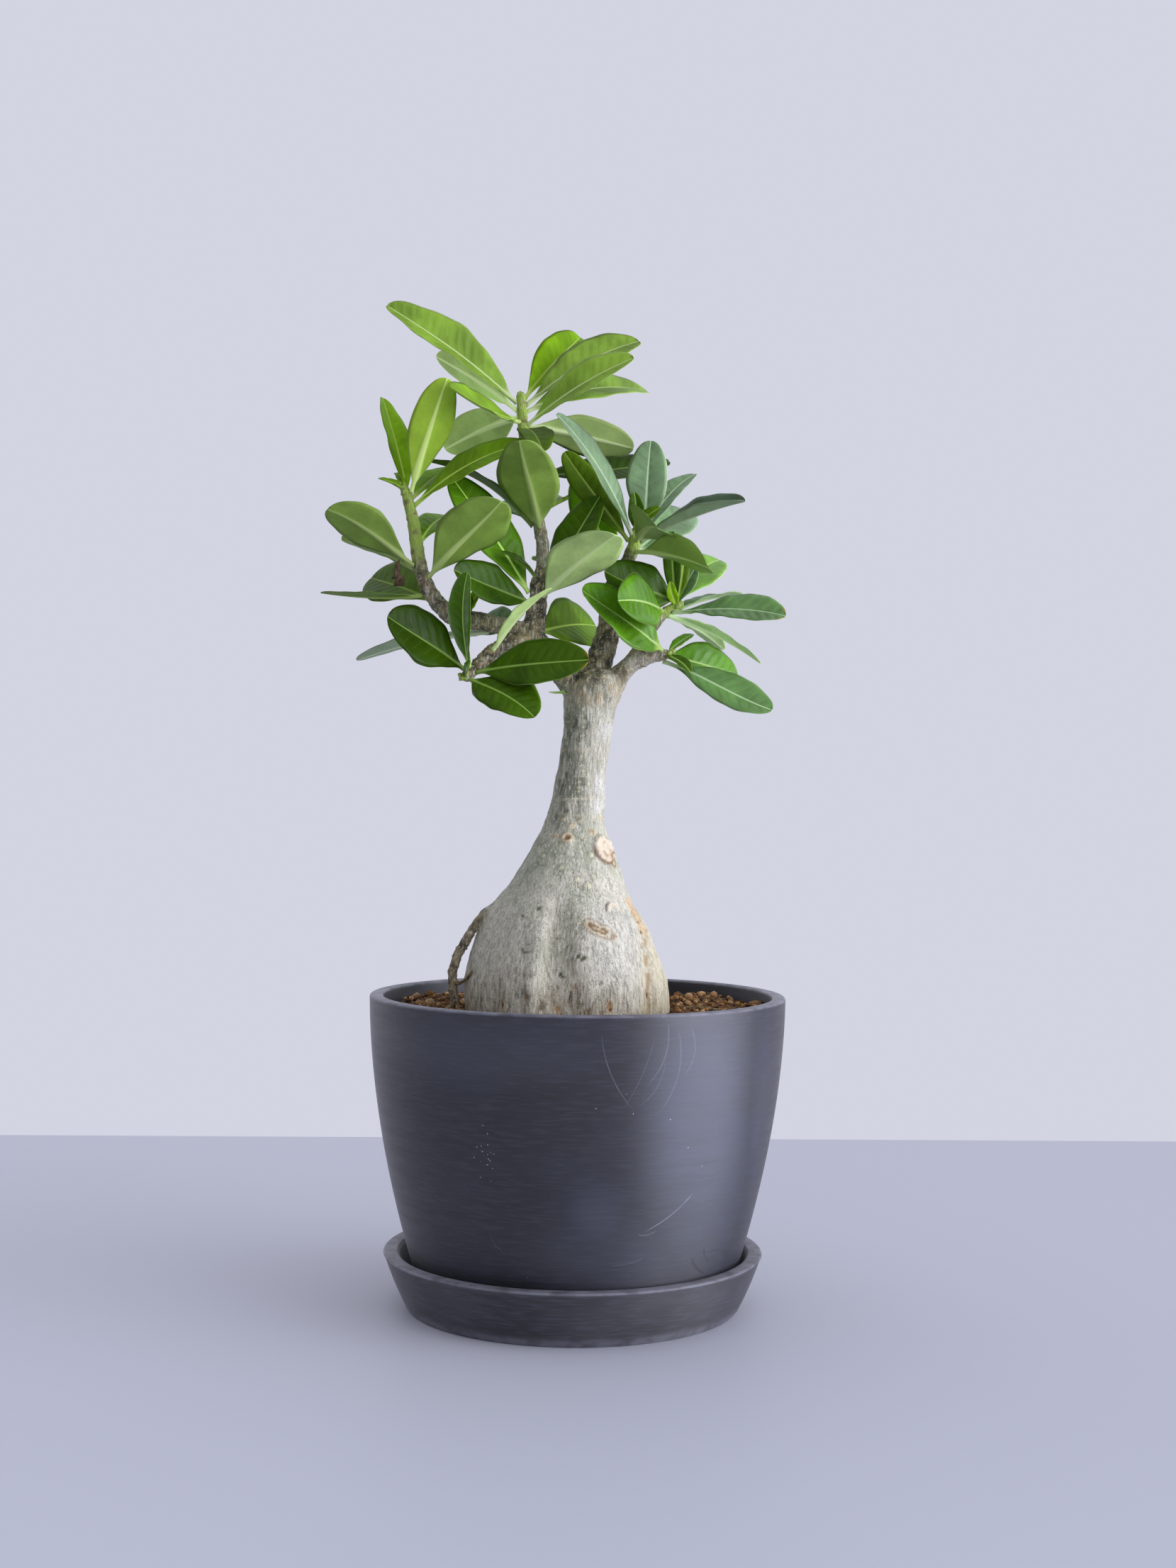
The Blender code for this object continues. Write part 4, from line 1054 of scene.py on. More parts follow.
def leaf_shell(bones, ruffle, phase, pleat=0.0, thickness=0.3, bends=None):
    """Rings round a leaf and the values that its skin is painted by.

    With s along the leaf and t from edge to edge: y = half(s) t cos(fold); the mid surface rises by
    the arch 4 s (1 - s), by the fold's softened |t|, and by ruffles that grow with t^2. The upper
    face dips along the midrib and the under face carries a round rib, deepest at the stalk. Each
    section then turns about the midrib by the roll + twist s, and bows sideways by 4 s^2 (1 - s).
    """
    origin, axes, length, half_width, fold, arch = bones
    twist, sway, widest, roll = bends or (
        9 * math.sin(31 * phase), 1.2 * math.sin(17 * phase), LEAF_WIDEST, 0)
    root = STALK_ROOT / length
    s = np.r_[-root, np.linspace(0, 1, LEAF_STATIONS) ** 0.94]
    s[-1] = 0.997
    s = s[:, None]
    inside = np.clip(s, 0, 1)
    t = np.linspace(-1, 1, 2 * LEAF_HALF_POINTS + 1)
    t = np.sign(t) * np.abs(t) ** 1.35
    t = np.r_[t, t[-2:0:-1]][None, :]
    under = np.r_[np.zeros(2 * LEAF_HALF_POINTS + 1), np.ones(2 * LEAF_HALF_POINTS - 1)]
    under[[0, 2 * LEAF_HALF_POINTS]] = 0.5
    half = np.maximum(STALK_RADIUS * (1 - inside), half_width * outline(inside, widest))
    stalk = 1 - ramp(inside, 0.0, 0.14)
    soft = (np.sqrt(t ** 2 + 0.03) - math.sqrt(0.03)) / (math.sqrt(1.03) - math.sqrt(0.03))
    swell = np.sin(FULL_TURN * (1.7 * s + phase)) * np.sin(np.pi * inside)
    y = half * t * math.cos(fold) * (1 + 0.035 * swell * np.sign(t))
    wave = np.sin(FULL_TURN * (2.3 * s + phase) + 1.7 * (t > 0))
    wave = wave + 0.6 * np.sin(FULL_TURN * (4.9 * s + 2 * phase) + t)
    blade = 1 - stalk
    mid = half * soft * math.sin(fold) * (0.4 + 0.6 * blade)
    mid += ruffle * 0.55 * wave * t ** 2 * np.sin(np.pi * inside) ** 0.7 * blade
    mid -= 0.045 * half * t ** 4 * blade
    veins = (s * length - VEIN_SLANT * np.abs(t) * half) / VEIN_SPACING
    mid += pleat * (np.cos(FULL_TURN * veins) - 1) * np.sin(np.pi * np.abs(t)) * blade
    round_off = np.sqrt(np.clip(1 - t ** 2, 0, 1))
    flesh = thickness * (0.35 + 0.65 * round_off) * (1 - inside) ** 0.25 * (np.abs(t) < 1) + 0.03
    thick = stalk * STALK_RADIUS * round_off + blade * flesh
    rib_width = 1.15 * (1 - inside) + 0.35
    rib = (1.0 * (1 - inside) ** 0.8 + 0.08) * hill(t * half, rib_width) * blade
    groove = 0.3 * (1 - inside) ** 0.5 * hill(t * half, 0.8) * blade
    z = np.where(under < 0.75, mid + thick * (under != 0.5) - groove, mid - thick - rib)
    turn = np.radians(roll + twist * inside) * blade
    arc_rise = 4 * s * (1 - inside)
    y, z = rotated(y, z, turn)
    local = np.stack([s * length + 0 * t, y + sway * arc_rise * inside, z + arch * arc_rise], -1)
    rings = origin + local @ axes
    ones = np.ones_like(local[..., 0])
    values = {
        "along": local[..., 0], "across": t * half, "share": inside * ones, "rim": np.abs(t) * ones,
        "under": under[None, :] * ones,
    }
    return rings, values


def leaf_skin(name, tone, settings):
    """Living adenium leaf: leathery and waxed above, matt and paler below, with a pale broad rib.

    Side veins leave the rib 4 to 5 mm apart and lean towards the tip.
    """
    top, under, rib_top, rib_under, gloss, wax = tone
    made, node, shader = new_material("waxy_leaf_" + name, IOR=1.45, Specular_IOR_Level=wax)
    place = node("TexCoord", output="Object")
    below = node("MapRange", node("Attribute", attribute_name="under"), 0.4, 0.6)
    above = node("Math", 1.0, below, operation="SUBTRACT")
    off = node("Math", node("Attribute", attribute_name="across"), operation="ABSOLUTE")
    rim = node("Attribute", attribute_name="rim")
    share = node("Attribute", attribute_name="share")
    patch = node("TexNoise", place, 1 / (15 * MM), 3.0)
    fine = node("TexNoise", place, 1 / (1.1 * MM), 3.0)
    tones = []
    for code, depth in ((top, 0.22), (under, 0.14)):
        dark, light = ((*(linear(code) * factor), 1.0) for factor in (1 - depth, 1 + depth))
        tones.append(node("Mix", node("MapRange", patch, 0.35, 0.65, **SOFT), dark, light, **COLOUR))
    colour = node("Mix", below, *tones, **COLOUR)
    deep = (*(linear(top) * 0.6), 1.0)
    # Side veins: a saw of along - slant * |across|, whose peak is a pale line.
    saw = node("Math", node("Attribute", attribute_name="along"), node("Math", off, VEIN_SLANT, **TIMES),
               operation="SUBTRACT")
    saw = node("Math", node("Math", saw, VEIN_SPACING, operation="DIVIDE"), node("Math", patch, 1.6, **TIMES),
               operation="ADD")
    peak = node("Math", node("Math", node("Math", saw, operation="FRACT"), 0.5, operation="SUBTRACT"),
                operation="ABSOLUTE")
    kept = node("Math", node("MapRange", rim, 0.5, 0.9, 1.0, 0.0, **SOFT),
                node("MapRange", off, 0.3, 1.2), **TIMES)
    strength = node("MapRange", below, 0.0, 1.0, settings.veins, settings.veins * 0.3)
    line = node("Math", node("MapRange", peak, 0.45, 0.5, **SOFT), kept, **TIMES)
    colour = node("Mix", node("Math", line, strength, **TIMES), colour, rgba(rib_top), **COLOUR)
    # Painted shade of the quilted relief: the top face is darkened a little midway between the side veins.
    quilt = node("Math", node("MapRange", peak, 0.0, 0.45, 1.0, 0.0, **SOFT), kept, **TIMES)
    colour = node("Mix", node("Math", quilt, node("MapRange", below, 0.0, 1.0, 0.1, 0.0), **TIMES),
                  colour, deep, **COLOUR)
    colour = node("Mix", node("MapRange", fine, 0.4, 0.75, 0.0, 0.12, **SOFT), colour, deep, **COLOUR)
    # The rib: a narrow bright line above, a broad pale ridge below, both thinner towards the tip.
    narrow = node("Math", off, node("MapRange", share, 0.0, 1.0, 0.75, 0.22), operation="DIVIDE")
    broad = node("Math", off, node("MapRange", share, 0.0, 1.0, 2.0, 0.3), operation="DIVIDE")
    for near, far, place_share, code in ((narrow, 1.25, above, rib_top), (broad, 1.2, below, rib_under)):
        ridge = node("Math", node("MapRange", near, 0.5, far, 0.9, 0.0, **SOFT), place_share, **TIMES)
        colour = node("Mix", ridge, colour, rgba(code), **COLOUR)
    for source, low, high, start, end in ((share, 0.02, 0.13, 0.85, 0.0), (rim, 0.93, 0.985, 0.0, 0.55)):
        pale = node("MapRange", source, low, high, start, end, **SOFT)
        colour = node("Mix", pale, colour, rgba(rib_under), **COLOUR)
    tip = node("Attribute", attribute_name="blush")
    colour = node("Mix", tip, colour, rgba("B8862C"), **COLOUR)
    # Painted light and shade: each leaf's colour times its own share, darker in shade, paler where lit and
    # backlit.
    shade = node("Attribute", attribute_name="shade")
    colour = node("Mix", 1.0, colour, shade, blend_type="MULTIPLY", **COLOUR)
    matt = node("Math", node("MapRange", below, 0.0, 1.0, gloss, 0.55),
                node("MapRange", fine, 0.3, 0.7, -0.03, 0.06), operation="ADD")
    swell = node("Math", node("Math", quilt, node("MapRange", below, 0.0, 1.0, 0.3, 0.06), **TIMES), patch,
                 operation="ADD")
    finish_surface(shader, colour, matt, [(swell, 0.4), (fine, 0.04)])
    return made


def leaf_values(values, shade=1.0, blush=NO_BLUSH):
    """A leaf's painted values with those of its two poles, its painted light and shade, and the yellow at its
    tip.
    """
    found = {label: pole_values(value) for label, value in values.items()}
    found["shade"] = np.full(len(found["share"]), float(shade))
    found["blush"] = 0.6 * ramp(found["share"], blush, blush + 0.1) * ramp(found["rim"], 0.3, 0.95)
    return found


def make_leaves(settings):
    """Every full-size leaf as a thin curved blade on its CAD leaf's bones."""
    skins = {name: leaf_skin(name, tone, settings) for name, tone in TONES.items()}
    for shoot, looks in LEAF_LOOKS.items():
        slot = "young_leaf" if shoot == "crown" else "leaf"
        for number, (tone, widen, ruffle, shade) in enumerate(looks, 1):
            node = f"leaf_{shoot}_{number:02d}"
            origin, axes, length, half, fold, arch = leaf_bones(node)
            phase = 0.37 * number + 0.11 * len(shoot)
            bones = origin, axes, length, half * widen, fold, arch
            rings, values = leaf_shell(bones, ruffle * settings.ruffle, phase, PLEATED.get(node, 0.0),
                                       bends=LEAF_BENDS.get(node))
            points, faces = ring_shell(rings)
            painted = leaf_values(values, shade, BLUSHED.get(node, NO_BLUSH))
            blade = mesh_piece(f"blade_{shoot}_{number:02d}", points, outward(points, faces),
                               skins[tone], painted)
            finish_piece(blade, slot, node)


# Small young leaves and slivers: (base, tip, width, way that the upper face looks, arch, fold, tone).
SMALL_LEAVES = [
    ((-71, -5, 331), (-84, -4, 337), 6, (0, -0.4, 1), 1, 15, "lime"),
    ((-72, -4, 332), (-78, 6, 341), 5, (0.3, -1, 0.5), 1, 15, "lime"),
    ((-18, -5, 296), (-33, -14, 306), 8, (0, -0.5, 1), 2, 15, "mature"),
    ((-47, -8, 280), (-41, -14, 291), 6, (-0.4, -1, 0.3), 2, 20, "lime"),
    ((-46, -9, 280), (-49, -16, 290), 5, (0.5, -1, 0.2), 2, 20, "mature"),
    ((22, 7, 318), (21, -1, 333), 7, (0, -1, 0.2), 1, 15, "mature"),
    ((22, 7, 318), (32, 0, 327), 6, (0, -1, 0.5), 2, 20, "olive"),
    ((22, 6, 318), (27, -4, 322), 6, (0, -1, 0.8), 2, 20, "lime"),
    ((39, 2, 286), (37, 6, 318), 8, (-0.3, -1, 0.1), 1, 15, "mature"),
    ((39, 2, 286), (42, 7, 313), 6, (0.3, -1, 0.1), 1, 15, "olive"),
    ((39, 2, 286), (36, -5, 296), 5, (0, -1, 0.3), 1, 20, "lime"),
    ((39, 2, 287), (47, 10, 303), 9, (-0.3, -1, 0.4), 1, 12, "dusty"),
    ((35, -8, 266), (46, 2, 275), 6, (0, -0.5, 1), 1, 15, "bright"),
    ((34, -8, 266), (44, -16, 258), 7, (0, -0.6, 1), 1, 15, "mature"),
    ((-46, -18, 255), (-44, -27, 261), 5, (0, -1, 0.6), 1, 20, "bright"),
    ((4, 1, 253), (-13, -7, 250), 4.5, (0, 0.3, -1), 1, 10, "pale"),
]


def small_bones(base, tip, width, face, arch, fold):
    """Axes and sizes of a small leaf from its base to its tip."""
    along = unit(np.subtract(tip, base))
    up = unit(np.array(face, float) - along * along.dot(face))
    axes = np.array([along, np.cross(up, along), up])
    length = np.linalg.norm(np.subtract(tip, base))
    return np.array(base, float), axes, length, width / 2, math.radians(fold), arch


def make_young_growth(settings):
    """The small leaves at the shoots' hearts, one piece to each tone."""
    for tone in sorted({row[-1] for row in SMALL_LEAVES}):
        shells, painted = [], []
        for number, row in enumerate(row for row in SMALL_LEAVES if row[-1] == tone):
            rings, values = leaf_shell(small_bones(*row[:-1]), 0.3, 0.3 * number, thickness=0.22)
            shells.append(ring_shell(rings))
            painted.append(leaf_values(values))
        points, faces = joined(shells)
        merged = {label: np.concatenate([values[label] for values in painted]) for label in painted[0]}
        skin = leaf_skin("small_" + tone, TONES[tone], settings)
        growth = mesh_piece(f"young_growth_{tone}", points, faces, skin, merged)
        finish_piece(growth, "young_leaf" if tone in ("young", "lime") else "leaf")


# ---- Buds and roots ----

# How far a bud's foot is sunk in its shoot, and how far apart the rings of a stalk or rootlet are, in mm.
BUD_FOOT = 0.8
TUBE_STEP = 0.8
# Shoot hearts and buds: ((x, y, z), radius, height, lean towards (x, y)).
HEARTS = [
    ((-26, 0, 372.5), 1.9, 2.6, (-0.1, -0.1)), ((-72.5, -5, 331), 2.2, 4.0, (-0.2, 0)),
    ((22.5, 7, 318), 2.4, 4.0, (0.1, -0.2)), ((39, 2, 286), 2.4, 3.6, (0.5, -0.1)),
    ((35, -8, 266), 2.2, 3.0, (0.9, -0.3)), ((-46.5, -18, 254.5), 2.4, 3.2, (-0.6, -0.4)),
    ((-16.5, -4, 299), 2.6, 3.4, (0.1, -0.2)), ((-47, -8, 280.5), 1.7, 3.6, (0.1, -0.5)),
]
# Dried brown buds on the left branch: the same columns.
DRIED = [((-74.5, -12, 293), 2.1, 4.2, (0.3, -0.9)), ((-76, -11, 296), 1.2, 8.0, (0.2, 0.2))]


def bud_shell(place, radius, height, lean, seed):
    """A lumpy bud: radius * (1 - u^2)^0.6 at share u of its height, leaning as it rises."""
    u = np.linspace(0, 0.985, 11)[:, None]
    turn = np.linspace(0, FULL_TURN, 14, endpoint=False)[None, :]
    reach = radius * (1 - u ** 2) ** 0.6 * (1 + 0.16 * np.sin(3 * turn + 4 * u))
    rings = around_axis(reach, turn, height * u) + (place[0], place[1], place[2] - BUD_FOOT)
    rings[..., :2] += np.multiply(lean, height) * u[..., None]
    flat = rings.reshape(-1, 3)
    flat += 0.3 * lattice_noise(flat / 1.4, seed)[:, None]
    return ring_shell(rings)


def tube_rings(path, sides):
    """Rings across a path of (x, y, z, radius): centre + radius * (cos t side + sin t other)."""
    centres, ways = path[:, :3], unit(np.gradient(path[:, :3], axis=0))
    side, other = sideways(ways)
    turn = np.linspace(0, FULL_TURN, sides, endpoint=False)[None, :, None]
    out = np.cos(turn) * side[:, None] + np.sin(turn) * other[:, None]
    return centres[:, None] + path[:, 3, None, None] * out


# Rootlets: points (x, y, z, radius).
ROOTLETS = [
    [(-50.5, -7, 131, 0.9), (-47.5, -9, 131.5, 0.7), (-44.5, -12, 134, 0.55), (-42.5, -15, 137, 0.4)],
    [(-50, -6, 124, 1), (-53, -9, 120.5, 0.9), (-58, -13, 120, 0.75), (-63, -15, 120, 0.5),
     (-66, -19, 119.5, 0.35)],
    [(-50, -5, 125, 0.8), (-48.5, -9, 121, 0.7), (-46, -13, 120, 0.5)],
    [(44, 12, 120, 0.5), (52, 6, 120.5, 0.6), (60, 4, 120, 0.5), (66, 8, 120, 0.3)],
]
# Long stalks of leaves that stand behind: the same columns.
STALKS = [
    [(-17.5, -4, 320.5, 1), (-14.5, -3, 325.5, 1), (-11.5, 0, 328, 0.9), (-6, 4, 331.5, 0.9)],
    [(-17.5, -4, 304.5, 1), (-20, 0, 305.5, 0.9), (-15, 5, 306, 0.9), (-6, 8, 305, 0.9)],
]


def grown_matter(name, dark, light, size, roughness):
    """Bud scales, dry husks or root skin: fibrous, matt, in two tones that swirl over a few mm."""
    made, node, shader = new_material(name, IOR=1.4)
    upright = node("Mapping", node("TexCoord", output="Object"), (0, 0, 0), (0, 0, 0), (1, 1, 0.5))
    swirl = node("TexNoise", upright, 1 / (size * MM), 4.0, 0.5, 2.0, 0.8)
    colour = node("Mix", node("MapRange", swirl, 0.35, 0.65, **SOFT), rgba(dark), rgba(light), **COLOUR)
    finish_surface(shader, colour, roughness, [(swirl, 0.3)])
    return made


def make_buds_and_roots():
    """Green hearts of the shoots, dried buds, long leaf stalks, and loose rootlets by the aerial root."""
    hearts, dried = (joined([bud_shell(*row, seed) for seed, row in enumerate(rows, 200)])
                     for rows in (HEARTS, DRIED))
    stalks, roots = (joined([ring_shell(tube_rings(curve_through(row, TUBE_STEP), sides)) for row in rows])
                     for rows, sides in ((STALKS, 10), (ROOTLETS, 8)))
    roots = roots[0] + 0.12 * rough(roots[0], 1.5, 211)[:, None], roots[1]
    for name, slot, shell, *skin in (
            ("shoot_hearts", "young_leaf", hearts, "green_bud_scales", "5E7A1E", "A3B65A", 1.6, 0.5),
            ("dried_buds", "wood", dried, "dried_bud_husk", "33271C", "66503A", 1.4, 0.75),
            ("leaf_stalks", "leaf", stalks, "leaf_stalk_skin", "6F9428", "9DBA4C", 3, 0.45),
            ("rootlets", "wood", roots, "dry_root_skin", "5F4E33", "A08D68", 1.3, 0.85)):
        finish_piece(mesh_piece(name, *shell, grown_matter(*skin)), slot)


# ---- Soil ----

SOIL_AROUND = 220
SOIL_LEVEL = 119.0
# Corners of the CAD soil: above SOIL_TOP they are on its surface, and beyond SOIL_WALL on its wall.
# Nearer the caudex's axis than POCKET_REACH and above POCKET_FLOOR they are on its pocket.
SOIL_TOP = 118
SOIL_WALL = 50
POCKET_REACH = 47
POCKET_FLOOR = 86
SOIL_MOUNDS = [(54, 36, 3.5, 20), (-58, 30, 3.0, 20), (0, 58, 2.0, 30)]
CAUDEX_X = -4.0
CAUDEX_DEPTH = 0.95
SURFACE_RINGS = 46
# How far most grains tip, in radians, and the share of its height by which a grain's middle is raised.
GRAIN_TILT = 0.35
GRAIN_LIFT = 0.22
# Grains: (name, count, least and most size in mm, flatness, colours).
GRAINS = [
    ("soil_crumbs", 1500, 0.8, 2.6, 0.75, ("5A3C22", "7C5430", "9A6E42", "B88E5A", "452F1C")),
    ("soil_grit", 420, 1.8, 4.6, 0.7, ("8A623A", "BC8C58", "D2AC7A", "6C4A2A", "A07C52", "CCA67A")),
    ("soil_pebbles", 46, 3.6, 7.0, 0.7, ("BE9468", "9B7448", "C9A67C", "8A6A4A", "A9825A")),
    ("bark_chips", 90, 3.0, 8.5, 0.28, ("5A3A20", "8A6238", "3E2817", "A47B4C", "6E4A2A")),
]


def caudex_polar(points):
    """Turn about the caudex's axis and reach from it, with its depth taken off: (atan2, hypot)."""
    x, y = points[:, 0] - CAUDEX_X, points[:, 1] / CAUDEX_DEPTH
    return np.arctan2(y, x), np.hypot(y, x)


def caudex_reach(points, turns):
    """How far a ring of points lies from the caudex's axis at each turn, its depth taken off."""
    angle, reach = caudex_polar(points)
    order = np.argsort(angle)
    return np.interp(turns, angle[order], reach[order], period=FULL_TURN)


def caudex_ring(reach, turns, height):
    """A ring round the caudex: x = centre + reach cos t, y = 0.95 reach sin t."""
    return np.stack([CAUDEX_X + reach * np.cos(turns), CAUDEX_DEPTH * reach * np.sin(turns),
                     np.full(len(turns), height)], -1)


def soil_height(x, y):
    """The soil's level, plus rise * exp(-(distance / spread)^2) for each mound, plus lumps."""
    height = np.full(np.shape(x), SOIL_LEVEL)
    for mound_x, mound_y, rise, spread in SOIL_MOUNDS:
        height += rise * np.exp(-((x - mound_x) ** 2 + (y - mound_y) ** 2) / spread ** 2)
    flat = np.stack([x, y, np.zeros(np.shape(x))], -1).reshape(-1, 3)
    lumps = 0.75 * rough(flat, 8, 151, 2) + 0.4 * rough(flat, 2.4, 161, 2)
    return height + lumps.reshape(np.shape(x))


def soil_edges(turns):
    """The surface's inner edge against the caudex and its outer edge against the pot, at each turn."""
    soil = node_points("soil")
    top = soil[soil[:, 2] > SOIL_TOP]
    rim = top[caudex_polar(top)[1] < POCKET_REACH]
    return caudex_ring(caudex_reach(rim, turns), turns, 0), np.hypot(*top[:, :2].T).max()


def surface_points(share, turns):
    """Points of the surface at shares of the way from the caudex to the pot, level at the pot."""
    edge, outer = soil_edges(turns)
    x = edge[:, 0] + (outer * np.cos(turns) - edge[:, 0]) * share
    y = edge[:, 1] + (outer * np.sin(turns) - edge[:, 1]) * share
    fade = 1 - ramp(share, 0.93, 1.0)
    return np.stack([x, y, SOIL_LEVEL + (soil_height(x, y) - SOIL_LEVEL) * fade], -1)


def potting_mix(name):
    """Granular potting mix of bark, peat and grit: matt, crumbly over 1 to 4 mm, brown with tan flecks."""
    made, node, shader = new_material(name, IOR=1.4, Specular_IOR_Level=0.25)
    place = node("TexCoord", output="Object")
    crumbs = node("TexNoise", place, 1 / (2.6 * MM), 5.0)
    flecks = node("TexNoise", place, 1 / (1.1 * MM), 2.0)
    colour = rgba("38271A")
    for source, low, high, most, code in (
            (crumbs, 0.35, 0.65, 1.0, "7A5A3A"), (flecks, 0.62, 0.74, 0.8, "A98A62")):
        share = node("MapRange", source, low, high, 0.0, most, **SOFT)
        colour = node("Mix", share, colour, rgba(code), **COLOUR)
    finish_surface(shader, colour, 0.95, [(crumbs, 1.2)])
    return made


def grain_matter(name, relief):
    """Loose grit, pebbles or bark: matt, each grain in its own tone, pitted over 1 mm."""
    made, node, shader = new_material(name, IOR=1.45, Specular_IOR_Level=0.3)
    pits = node("TexNoise", node("TexCoord", output="Object"), 1 / (1.0 * MM), 4.0)
    colour = node("Mix", node("MapRange", pits, 0.35, 0.7, 0.0, 0.45, **SOFT),
                  node("Attribute", attribute_name="tone"), rgba("2F2418"), **COLOUR)
    finish_surface(shader, colour, 0.9, [(pits, relief)])
    return made


def icosahedron():
    """The twelve corners and twenty faces of a regular solid, one unit from its middle."""
    golden = (1 + math.sqrt(5)) / 2
    plane = np.array([(a, b * golden, 0) for a in (-1, 1) for b in (-1, 1)], float)
    corners = unit(np.vstack([plane, plane[:, [2, 0, 1]], plane[:, [1, 2, 0]]]))
    side = np.linalg.norm(corners[:, None] - corners[None], axis=2)
    touch = np.abs(side - side[side > 0.1].min()) < 1e-6
    faces = [(i, j, k) for i in range(12) for j in range(i + 1, 12) for k in range(j + 1, 12)
             if touch[i, j] and touch[j, k] and touch[i, k]]
    faces = np.array(faces)
    a, b, c = (corners[faces[:, k]] for k in range(3))
    inward = np.einsum("ij,ij->i", np.cross(b - a, c - a), a) < 0
    faces[inward] = faces[inward][:, ::-1]
    return corners, faces


def make_soil(settings):
    """The plug of soil with its lumpy surface, and the loose grains that lie on it."""
    soil = node_points("soil")
    turns = np.linspace(0, FULL_TURN, SOIL_AROUND, endpoint=False)
    low = soil[soil[:, 2] < SOIL_TOP]
    pocket = low[(caudex_polar(low)[1] < POCKET_REACH) & (low[:, 2] > POCKET_FLOOR)]
    rings = [caudex_ring(np.ones(SOIL_AROUND), turns, pocket[:, 2].min())]
    for height in np.unique(pocket[:, 2].round(1))[1:]:
        ring = pocket[np.abs(pocket[:, 2] - height) < 0.1]
        rings.append(caudex_ring(caudex_reach(ring, turns), turns, height))
    rings += [surface_points(share, turns) for share in np.linspace(0, 1, SURFACE_RINGS)]
    wall = low[np.hypot(low[:, 0], low[:, 1]) > SOIL_WALL]
    for height in np.unique(wall[:, 2].round(1))[::-1]:
        ring = wall[np.abs(wall[:, 2] - height) < 0.1]
        rings.append(around_axis(np.hypot(ring[:, 0], ring[:, 1]).mean(), turns, height))
    points, faces = ring_shell(np.array(rings))
    plug = mesh_piece("potting_soil", points, outward(points, faces), potting_mix("granular_potting_mix"))
    finish_piece(plug, "soil", "soil")
    rng = np.random.default_rng(7)
    corners, triangles = icosahedron()
    for name, count, least, most, flatness, tones in GRAINS:
        count = int(count * settings.grains)
        where = surface_points(rng.uniform(0.015, 0.965, count) ** 0.8, rng.uniform(0, FULL_TURN, count))
        size = least + (most - least) * rng.uniform(0, 1, count) ** 2.2
        shape = corners[None] * rng.uniform(0.7, 1.15, (count, 12, 1))
        scale = [rng.uniform(0.75, 1.2, count), rng.uniform(0.55, 0.95, count), np.full(count, flatness)]
        x, y, z = np.moveaxis(shape * np.stack(scale, -1)[:, None] * size[:, None, None] / 2, -1, 0)
        turn, tilt = rng.uniform(0, FULL_TURN, (count, 1)), rng.normal(0, GRAIN_TILT, (count, 1))
        x, y = rotated(x, y, turn)
        y, z = rotated(y, z, tilt)
        placed = np.stack([x, y, z], -1) + where[:, None]
        placed[..., 2] += (size * flatness * GRAIN_LIFT)[:, None]
        faces = (triangles[None] + 12 * np.arange(count)[:, None, None]).reshape(-1, 3)
        ink = np.array([linear(code) for code in tones])[rng.integers(0, len(tones), count)]
        grains = mesh_piece(name, placed.reshape(-1, 3), [faces], grain_matter("loose_" + name, 0.2 * least),
                            {"tone": np.repeat(ink, 12, axis=0)}, smooth=False)
        finish_piece(grains, "soil")


# ---- Stage ----

# The camera's lens and sensor in mm, and its place in metres.
CAMERA_LENS = 45
CAMERA_SENSOR = 36
CAMERA_PLACE = (0, -0.806, 0.2043)
# Pitch, roll and yaw off a level view along +Y, in degrees.
CAMERA_TURN = (0.6, 0.6, -0.236)
# Half the table's width, its front edge, and its far edge's place and slope, in metres.
TABLE_HALF = 0.62
TABLE_FRONT = -0.6
TABLE_FAR = 0.396
TABLE_SLOPE = 0.025
# The way to the middle of the studio's window: to the right of the front, and a little up.
WINDOW_AZIMUTH = 69
WINDOW_HEIGHT = 3
# The way to the middle of the room's dim side, and the key lamp's spread in degrees.
DIM_AZIMUTH = -60
DIM_HEIGHT = -5
KEY_SPREAD = 50


def painted_board(settings):
    """Painted board, slightly satin, a little paler towards the front, with a fine roller texture."""
    made, node, shader = new_material("painted_board", Specular_IOR_Level=0.2)
    place = node("TexCoord", output="Object")
    front = node("MapRange", node("SeparateXYZ", place, output="Y"), -0.3, 0.4, 1.0, 0.0)
    colour = node("Mix", front, (*settings.floor_colour, 1.0), (*settings.front_colour, 1.0), **COLOUR)
    finish_surface(shader, colour, 0.55, [(node("TexNoise", place, 1 / (3 * MM), 3.0), 0.03)])
    return made


def way_to(azimuth, elevation):
    """A direction: azimuth in degrees from the front towards the right, elevation above level."""
    turn, rise = math.radians(azimuth), math.radians(elevation)
    return Vector((math.sin(turn) * math.cos(rise), -math.cos(turn) * math.cos(rise), math.sin(rise)))


